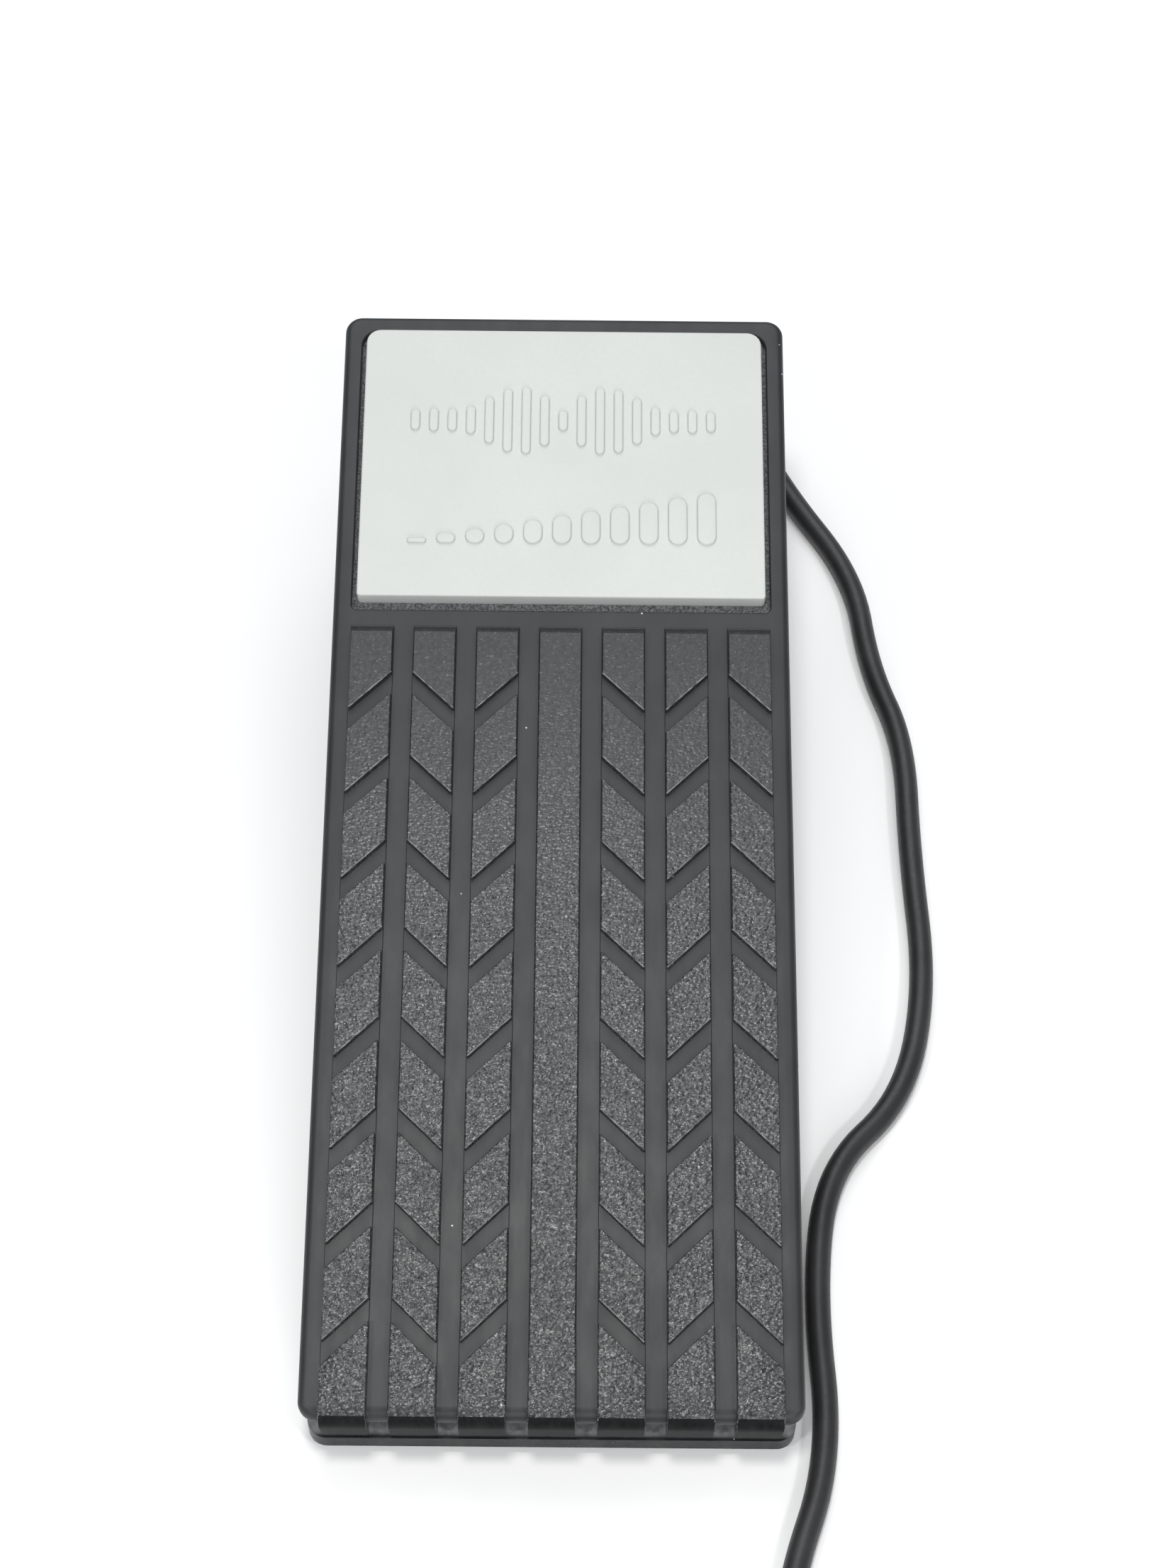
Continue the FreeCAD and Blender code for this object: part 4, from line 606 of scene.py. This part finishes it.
POCKET_DEEP, POCKET_SIDE, POCKET_NEAR, POCKET_FAR = 1.5 * MM, 1.1 * MM, 2.2 * MM, 0.9 * MM
POCKET_HEEL_CORNER, POCKET_TOE_CORNER, POCKET_LIP = 1.2 * MM, 3.6 * MM, 0.25 * MM
SKIRT_EDGE = 0.35 * MM
BLOCK_CORNER, BLOCK_SINK = 0.34 * MM, 0.3 * MM
CLAW_TAIL, CLAW_FOOT_ROUND, CLAW_BEHIND = 2.0 * MM, 0.7 * MM, 1.0 * MM
CLAW_SLANT = 2.0 * MM
BED_START, BED_SOFT = 4.0 * MM, 0.12 * MM
# the block of the middle band, which has no slanting grooves, starts this far inside the band's claw
CENTRE_OVERLAP = 0.4 * MM
# numbers of the tread's materials after its grain, and how a face lies to get them: the worn edge carries a
# painted highlight, and the claws' fronts carry painted shade
SMOOTH, WORN_HIGHLIGHT, SHADED_FRONT = 1, 2, 3
SHADED_FRONT_FACING = -0.7
WORN_HIGHLIGHT_TO_HEEL, WORN_HIGHLIGHT_LEAST_UP, WORN_HIGHLIGHT_MOST_UP = -0.2, 0.3, 0.99


def outline(left, right, near, far):
    """The corners of a rectangle, anticlockwise."""
    return [(left, near), (right, near), (right, far), (left, far)]


def treadle_body():
    """The moulded frame: a plate with skirts, the badge's pocket, and a wall set back behind the claws."""
    half = WIDE / 2
    corners = outline(-half, half, 0, LONG)
    radii = [HEEL_CORNER, HEEL_CORNER, TOE_CORNER, TOE_CORNER]
    steps = 8
    outer = inset_ring(corners, radii, steps, 0)
    inner = inset_ring(corners, radii, steps, EDGE_ROUND)
    lean = [(a - b) / EDGE_ROUND for a, b in zip(inner, outer)]

    def ring(inset, z):
        return at_height([point + way * inset for point, way in zip(outer, lean)], z)

    def behind_claws(points):
        """The same outline with its heel side set in."""
        return [Vector((p.x, p.y + HEEL_INSET * max(0, 1 - p.y / HEEL_CORNER), p.z)) for p in points]

    build = Build()
    skirt = [(SKIRT_WALL, -PLATE), (SKIRT_WALL, -SKIRT), (SKIRT_EDGE, -SKIRT), (0, -SKIRT + SKIRT_EDGE),
             (0, -PLATE)]
    rings = [behind_claws(ring(inset, z)) for inset, z in skirt]
    rings.append(ring(SKIRT_EDGE, -PLATE))
    rings.append(ring(0, -PLATE + SKIRT_EDGE))
    rounds = [between(EDGE_ROUND, HEEL_ROUND, max(0, way.y) ** 2) for way in lean]
    for angle in quarter_turn(6):
        rings.append([
            Vector((*(point + way * amount * (1 - math.cos(angle))), -amount * (1 - math.sin(angle))))
            for point, way, amount in zip(outer, lean, rounds)
        ])
    side = BADGE_WIDE / 2 + POCKET_SIDE
    pocket = outline(-side, side, BADGE_START - POCKET_NEAR, BADGE_START + BADGE_LONG + POCKET_FAR)
    pocket_radii = [POCKET_HEEL_CORNER, POCKET_HEEL_CORNER, POCKET_TOE_CORNER, POCKET_TOE_CORNER]
    for inset, z in ((-POCKET_LIP, 0), (0, -POCKET_LIP), (0, -POCKET_DEEP)):
        rings.append(at_height(inset_ring(pocket, pocket_radii, steps, inset), z))
    build.stack(rings)
    # the last face is the pocket's floor, which gets the second material
    build.marks[-1] = 1
    body = build.piece("treadle_body", [smooth_charcoal(), pocket_grain()], turn=on_treadle())
    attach(body, "treadle")
    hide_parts("treadle_shell")


def block(build, low, high):
    """A block of the tread between its outline at the smooth top and its outline at its own top."""
    radii = [BLOCK_CORNER] * len(low)

    def ring(share, inset, z):
        corners = [between(Vector(a), Vector(b), share) for a, b in zip(low, high)]
        return at_height(inset_ring(corners, radii, 2, inset), z)

    rings = [ring(0, 0, -BLOCK_SINK), ring(0, 0, 0)]
    edge_start = BAND_RISE - BLOCK_EDGE
    for angle in quarter_turn(4):
        z = edge_start + BLOCK_EDGE * math.sin(angle)
        inset = BLOCK_DRAFT * z / BAND_RISE + BLOCK_EDGE * (1 - math.cos(angle))
        rings.append(ring(z / BAND_RISE, inset, z))
    build.stack(rings)


def claw(build, middle, climb):
    """The last block of a band: it turns down over the heel and ends as a claw."""
    half = BAND_WIDE / 2
    start = NOTCH_FIRST - NOTCH_LONG / 2
    low = BAND_RISE - CLAW_DEEP - CLAW_TAIL
    behind = HEEL_INSET + CLAW_BEHIND
    profile = [(-CLAW_OUT, BAND_RISE), (-CLAW_OUT, low), (behind, low), (behind, -BLOCK_SINK),
               (start, -BLOCK_SINK), (start, BAND_RISE)]
    radii = [CLAW_ROUND, CLAW_FOOT_ROUND, 0, 0, 0, BLOCK_EDGE]
    offsets = [(BLOCK_EDGE * (1 - math.cos(angle)), BLOCK_EDGE * (1 - math.sin(angle)))
               for angle in quarter_turn(4)]
    sides = [(-half + along, drop) for along, drop in offsets]
    sides += [(half - along, drop) for along, drop in reversed(offsets)]
    rings = []
    for across, drop in sides:
        ring = []
        for point in inset_ring(profile, radii, 8, drop):
            slide = climb * across / half if point.x > start - CLAW_SLANT else 0
            ring.append(Vector((middle + across, point.x + slide, point.y)))
        rings.append(ring)
    build.stack(rings)


def tread_bands():
    """Seven raised bands with slanting grooves: their beds, their blocks, and the claws over the heel."""
    build = Build()
    half = BAND_WIDE / 2
    slope_start = BAND_END - BAND_SLOPE
    for column, lean in enumerate(BAND_LEANS):
        middle = BAND_PITCH * (column - len(BAND_LEANS) // 2)
        left, right = middle - half, middle + half
        climb = lean * NOTCH_CLIMB / 2
        bed = outline(left, right, BED_START, BAND_END)
        bed_rings = [at_height(inset_ring(bed, [BED_SOFT * 2] * 4, 2, inset), z)
                     for inset, z in ((0, -BED_SOFT), (0, BED_RISE - BED_SOFT), (BED_SOFT, BED_RISE))]
        build.stack(bed_rings, SMOOTH)
        claw(build, middle, climb)
        if not lean:
            start = NOTCH_FIRST - NOTCH_LONG / 2 - CENTRE_OVERLAP
            block(build, outline(left, right, start, BAND_END), outline(left, right, start, slope_start))
            continue
        for row in range(NOTCH_ROWS):
            start = NOTCH_FIRST + row * NOTCH_PITCH + NOTCH_LONG / 2
            end = start + NOTCH_PITCH - NOTCH_LONG
            heel_side = [(left, start - climb), (right, start + climb)]
            if row < NOTCH_ROWS - 1:
                low = high = heel_side + [(right, end + climb), (left, end - climb)]
            else:
                low = heel_side + [(right, BAND_END), (left, BAND_END)]
                high = heel_side + [(right, slope_start), (left, slope_start)]
            block(build, low, high)
    bands = build.piece("tread_bands", [grained_charcoal(), smooth_charcoal(), worn_edge_painted_highlight(), painted_shade_front()],
                        turn=on_treadle())
    turn_back = on_treadle().to_3x3().transposed()
    for polygon in bands.data.polygons:
        facing = turn_back @ polygon.normal
        if polygon.material_index == SMOOTH:
            continue
        if polygon.center.y < HEEL_FRONT:
            # claw faces facing the heel get the fronts' painted shade
            if polygon.normal.y < SHADED_FRONT_FACING:
                polygon.material_index = SHADED_FRONT
        # top edges facing the heel get the worn edge with its painted highlight
        elif (facing.y < WORN_HIGHLIGHT_TO_HEEL and WORN_HIGHLIGHT_LEAST_UP < facing.z < WORN_HIGHLIGHT_MOST_UP
                and polygon.area < WORN_HIGHLIGHT_AREA):
            polygon.material_index = WORN_HIGHLIGHT
    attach(bands, "treadle")


def box_rings(low, high, edge):
    """A block with rounded upright corners and bevelled top and bottom edges, as rings."""
    steps = 2
    corners = outline(low[0], high[0], low[1], high[1])
    radii = [edge * 1.2] * 4
    rings = []
    for angle in quarter_turn(steps):
        ring = inset_ring(corners, radii, steps, edge * (1 - math.sin(angle)))
        rings.append(at_height(ring, low[2] + edge * (1 - math.cos(angle))))
    for angle in quarter_turn(steps):
        ring = inset_ring(corners, radii, steps, edge * (1 - math.cos(angle)))
        rings.append(at_height(ring, high[2] - edge * (1 - math.sin(angle))))
    return rings


# under the treadle, in millimetres from the pivot: the ribs' and lugs' places and sizes
RIB_SIDES, RIB_HALF, RIB_REACH = (-24, 24), 0.9, 84
STOP_STARTS, STOP_HALF, STOP_LONG = (-100, 88), 12, 12
RIB_LOW, STOP_LOW = 8.4, 5.95
SEAT_ACROSS, SEAT_ALONG = (-10, 7), (8, 27)
LUG_OUTLINE = [(-4, -6.96), (4, -6.96), (8, 0), (10, 11.7), (-10, 11.7), (-8, 0)]
LUG_RADII = [1.5 * MM, 1.5 * MM, 2 * MM, 0, 0, 2 * MM]
LUG_LEFTS, LUG_THICK = (-37.2, 32.0), 5.2
UNDER_EDGE = 0.3


def treadle_underside():
    """The ribs, lugs, stop ribs and the sector's seat under the plate."""
    build = Build()
    edge = UNDER_EDGE * MM

    def rib(x, y, lowest):
        """A block from its lowest height up into the plate; x and y are pairs."""
        low = (x[0] * MM, y[0] * MM + PIVOT_AHEAD, lowest * MM - TOP_RISE)
        high = (x[1] * MM, y[1] * MM + PIVOT_AHEAD, -PLATE + edge)
        build.stack(box_rings(low, high, edge))

    for side in RIB_SIDES:
        rib((side - RIB_HALF, side + RIB_HALF), (-RIB_REACH, RIB_REACH), RIB_LOW)
    for start in STOP_STARTS:
        rib((-STOP_HALF, STOP_HALF), (start, start + STOP_LONG), STOP_LOW)
    rib(SEAT_ACROSS, SEAT_ALONG, RIB_LOW)
    lug = [(y * MM + PIVOT_AHEAD, z * MM - TOP_RISE) for y, z in LUG_OUTLINE]
    slices = [(0, UNDER_EDGE), (UNDER_EDGE, 0), (LUG_THICK - UNDER_EDGE, 0), (LUG_THICK, UNDER_EDGE)]
    for left in LUG_LEFTS:
        rings = []
        for across, inset in slices:
            ring = inset_ring(lug, LUG_RADII, 4, inset * MM)
            rings.append([Vector(((left + across) * MM, point.x, point.y)) for point in ring])
        build.stack(rings)
    ribs = build.piece("treadle_ribs", [smooth_charcoal()], turn=on_treadle())
    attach(ribs, "treadle")


WAVE_BARS = 17
RAMP_BARS = 11
RELIEF_RISE = 0.7 * MM
RELIEF_IN = 9.0 * MM
WAVE_ALONG, WAVE_TALL = 41.0 * MM, 19.0 * MM
RAMP_ALONG, RAMP_TALL = 12.0 * MM, 12.0 * MM
# half a bar's thickness, as a share of the room it has, and the least height of a wave's bar, as a share
WAVE_THICK, RAMP_THICK = 0.24, 0.32
WAVE_LEAST = 0.25
BAR_SOFT, BAR_FOOT, BAR_SINK = 0.3 * MM, 0.12 * MM, 0.1 * MM
BADGE_EDGE = 0.35 * MM


def badge():
    """The pale plate in its pocket, with a raised sound wave of bars over a rising ramp of bars."""
    build = Build()
    half = BADGE_WIDE / 2
    corners = outline(-half, half, BADGE_START, BADGE_START + BADGE_LONG)
    radii = [BADGE_HEEL_CORNER, BADGE_HEEL_CORNER, BADGE_CORNER, BADGE_CORNER]
    rings = [at_height(inset_ring(corners, radii, 6, 0), -POCKET_DEEP)]
    for angle in quarter_turn(4):
        ring = inset_ring(corners, radii, 6, BADGE_EDGE * (1 - math.cos(angle)))
        rings.append(at_height(ring, BADGE_TOP - BADGE_EDGE * (1 - math.sin(angle))))
    build.stack(rings)

    def bar(across, thick, low, high):
        """A raised bar with rounded ends and a soft top edge."""
        radius = min(thick, (high - low) / 2) * 0.98
        ends = outline(across - thick, across + thick, low, high)
        bar_rings = [at_height(inset_ring(ends, [radius] * 4, 5, -BAR_FOOT), BADGE_TOP - BAR_SINK)]
        soft = min(BAR_SOFT, radius * 0.6)
        for angle in quarter_turn(4):
            ring = inset_ring(ends, [radius] * 4, 5, soft * (1 - math.cos(angle)))
            bar_rings.append(at_height(ring, BADGE_TOP + RELIEF_RISE - soft * (1 - math.sin(angle))))
        build.stack(bar_rings)

    room = 2 * (half - RELIEF_IN)
    middle = BADGE_START + WAVE_ALONG
    for index in range(WAVE_BARS):
        phase = math.pi * (index + 0.5) / WAVE_BARS
        swell = WAVE_LEAST + (1 - WAVE_LEAST) * math.sin(phase) ** 2 * abs(math.cos(3 * phase))
        bar(room * ((index + 0.5) / WAVE_BARS - 0.5), room * WAVE_THICK / WAVE_BARS,
            middle - WAVE_TALL * swell / 2, middle + WAVE_TALL * swell / 2)
    line = BADGE_START + RAMP_ALONG
    for index in range(RAMP_BARS):
        bar(room * ((index + 0.5) / RAMP_BARS - 0.5), room * RAMP_THICK / RAMP_BARS,
            line, line + RAMP_TALL * (index + 1) / RAMP_BARS)
    plate = build.piece("badge", [badge_plastic()], turn=on_treadle())
    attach(plate, "treadle")
    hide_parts("badge_plate")


# ---------------------------------------------------------------- plug

PLUG_START = Vector((-34.0, -226.0, 7.0)) * MM
FLUTE_COUNT, FLUTE_DEPTH = 24, 0.035
FLUTES_FROM, FLUTES_TO = 17 * MM, 39 * MM
BOOT_RINGS, BOOT_FIRST, BOOT_PITCH = 5, 1.2, 2.2
BOOT_RADIUS, BOOT_SWELL = 3.75, 0.26
GRIP_RADIUS = 6.9
GRIP_STEPS, GRIP_FIRST, GRIP_STEP = 30, 17.1, 0.73


def plug_grip():
    """The plug's moulded grip and boot, with fine flutes along the grip and rings round the boot.

    Both outlines are (distance, radius) pairs in millimetres.
    """
    build = Build()

    def flutes(along, angle):
        """The share of the radius that is left where the flutes are cut."""
        held = FLUTES_FROM < along < FLUTES_TO
        return 1 - FLUTE_DEPTH * (0.5 + 0.5 * math.cos(FLUTE_COUNT * angle)) if held else 1

    boot = [(0, 3.4), (0.4, 3.7)]
    for ring in range(BOOT_RINGS):
        start = BOOT_FIRST + BOOT_PITCH * ring
        wide = BOOT_RADIUS + BOOT_SWELL * ring
        boot += [(start, wide), (start + 0.25, wide - 0.5), (start + 0.95, wide - 0.45),
                 (start + 1.2, wide + 0.1)]
    boot += [(12.6, 5.0), (14.0, 5.0)]
    lathe(build, [(a * MM, r * MM) for a, r in boot], PLUG_START)
    grip = [(14.0, 5.6), (14.5, 6.2), (15.2, 6.7), (16.0, GRIP_RADIUS), (16.9, GRIP_RADIUS)]
    grip += [(GRIP_FIRST + step * GRIP_STEP, GRIP_RADIUS) for step in range(GRIP_STEPS)]
    grip += [(39.1, GRIP_RADIUS), (40.0, GRIP_RADIUS), (41.0, 6.7), (41.7, 6.1), (42.0, 5.6)]
    lathe(build, [(a * MM, r * MM) for a, r in grip], PLUG_START, turns=120, wave=flutes)
    skin = rubber("plug_grip_skin", (0.016, 0.016, 0.017), 0.4, 0.0006, 0.00001, specks=False)
    grip_piece = build.piece("plug_grip_moulding", [skin])
    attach(grip_piece, "base")
    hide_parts("plug_grip", "plug_boot")
    return grip_piece


# ---------------------------------------------------------------- looks of the carried-over nodes


def dress_nodes():
    """Give every carried-over node its material."""
    zinc = metal("zinc_plate", (0.60, 0.62, 0.64), 0.34)
    steel = metal("bright_steel", (0.66, 0.66, 0.67), 0.24, (0.15, 1.0, 1.0))
    nickel = metal("nickel_plate", (0.78, 0.77, 0.74), 0.16, (0.15, 1.0, 1.0), 0.05)
    brass = metal("turned_brass", (0.74, 0.55, 0.27), 0.28)
    feet = rubber("foot_rubber", (0.016, 0.016, 0.017), 0.7, 0.0009, 0.00005)
    pads = rubber("pad_rubber", (0.020, 0.020, 0.020), 0.75, 0.0007, 0.00004)
    gland = rubber("gland_rubber", (0.014, 0.014, 0.015), 0.5, 0.0007, 0.00002)
    acetal = plastic("gear_acetal", (0.76, 0.75, 0.70), 0.36)
    knob = plastic("knob_plastic", (0.018, 0.018, 0.019), 0.42, 0.00003)
    insulator = plastic("plug_insulator", (0.02, 0.02, 0.022), 0.3)
    wire = plastic("wire_jacket", (0.42, 0.04, 0.03), 0.38)
    looks = {
        base_plastic(): ["base_shell"],
        painted_sheet(): ["bottom_cover"],
        laminate(): ["terminal_board"],
        zinc: ["cover_screws", "pot_bracket", "bracket_screws", "pot_body", "pot_washer", "pot_nut",
               "level_pot_body", "level_pot_nut", "board_screws", "sector_screws"],
        steel: ["pivot_shaft", "shaft_clips", "pot_shaft", "level_pot_shaft"],
        nickel: ["plug_sleeve", "plug_ring", "plug_tip"],
        brass: ["bush_left", "bush_right", "board_spacers"],
        feet: ["foot_heel_left", "foot_heel_right", "foot_toe_left", "foot_toe_right"],
        pads: ["heel_stop_pad", "toe_stop_pad"],
        gland: ["cord_gland"],
        acetal: ["gear_sector", "drive_pinion"],
        knob: ["level_knob"],
        insulator: ["plug_insulators"],
        wire: ["inner_wires"],
    }
    for material, names in looks.items():
        for name in names:
            node = frame["nodes"][name]
            node.data.materials.clear()
            node.data.materials.append(material)


# ---------------------------------------------------------------- the scene

make_camera()
make_studio()
cord = make_cord()
treadle_body()
tread_bands()
treadle_underside()
badge()
grip = plug_grip()
dress_nodes()
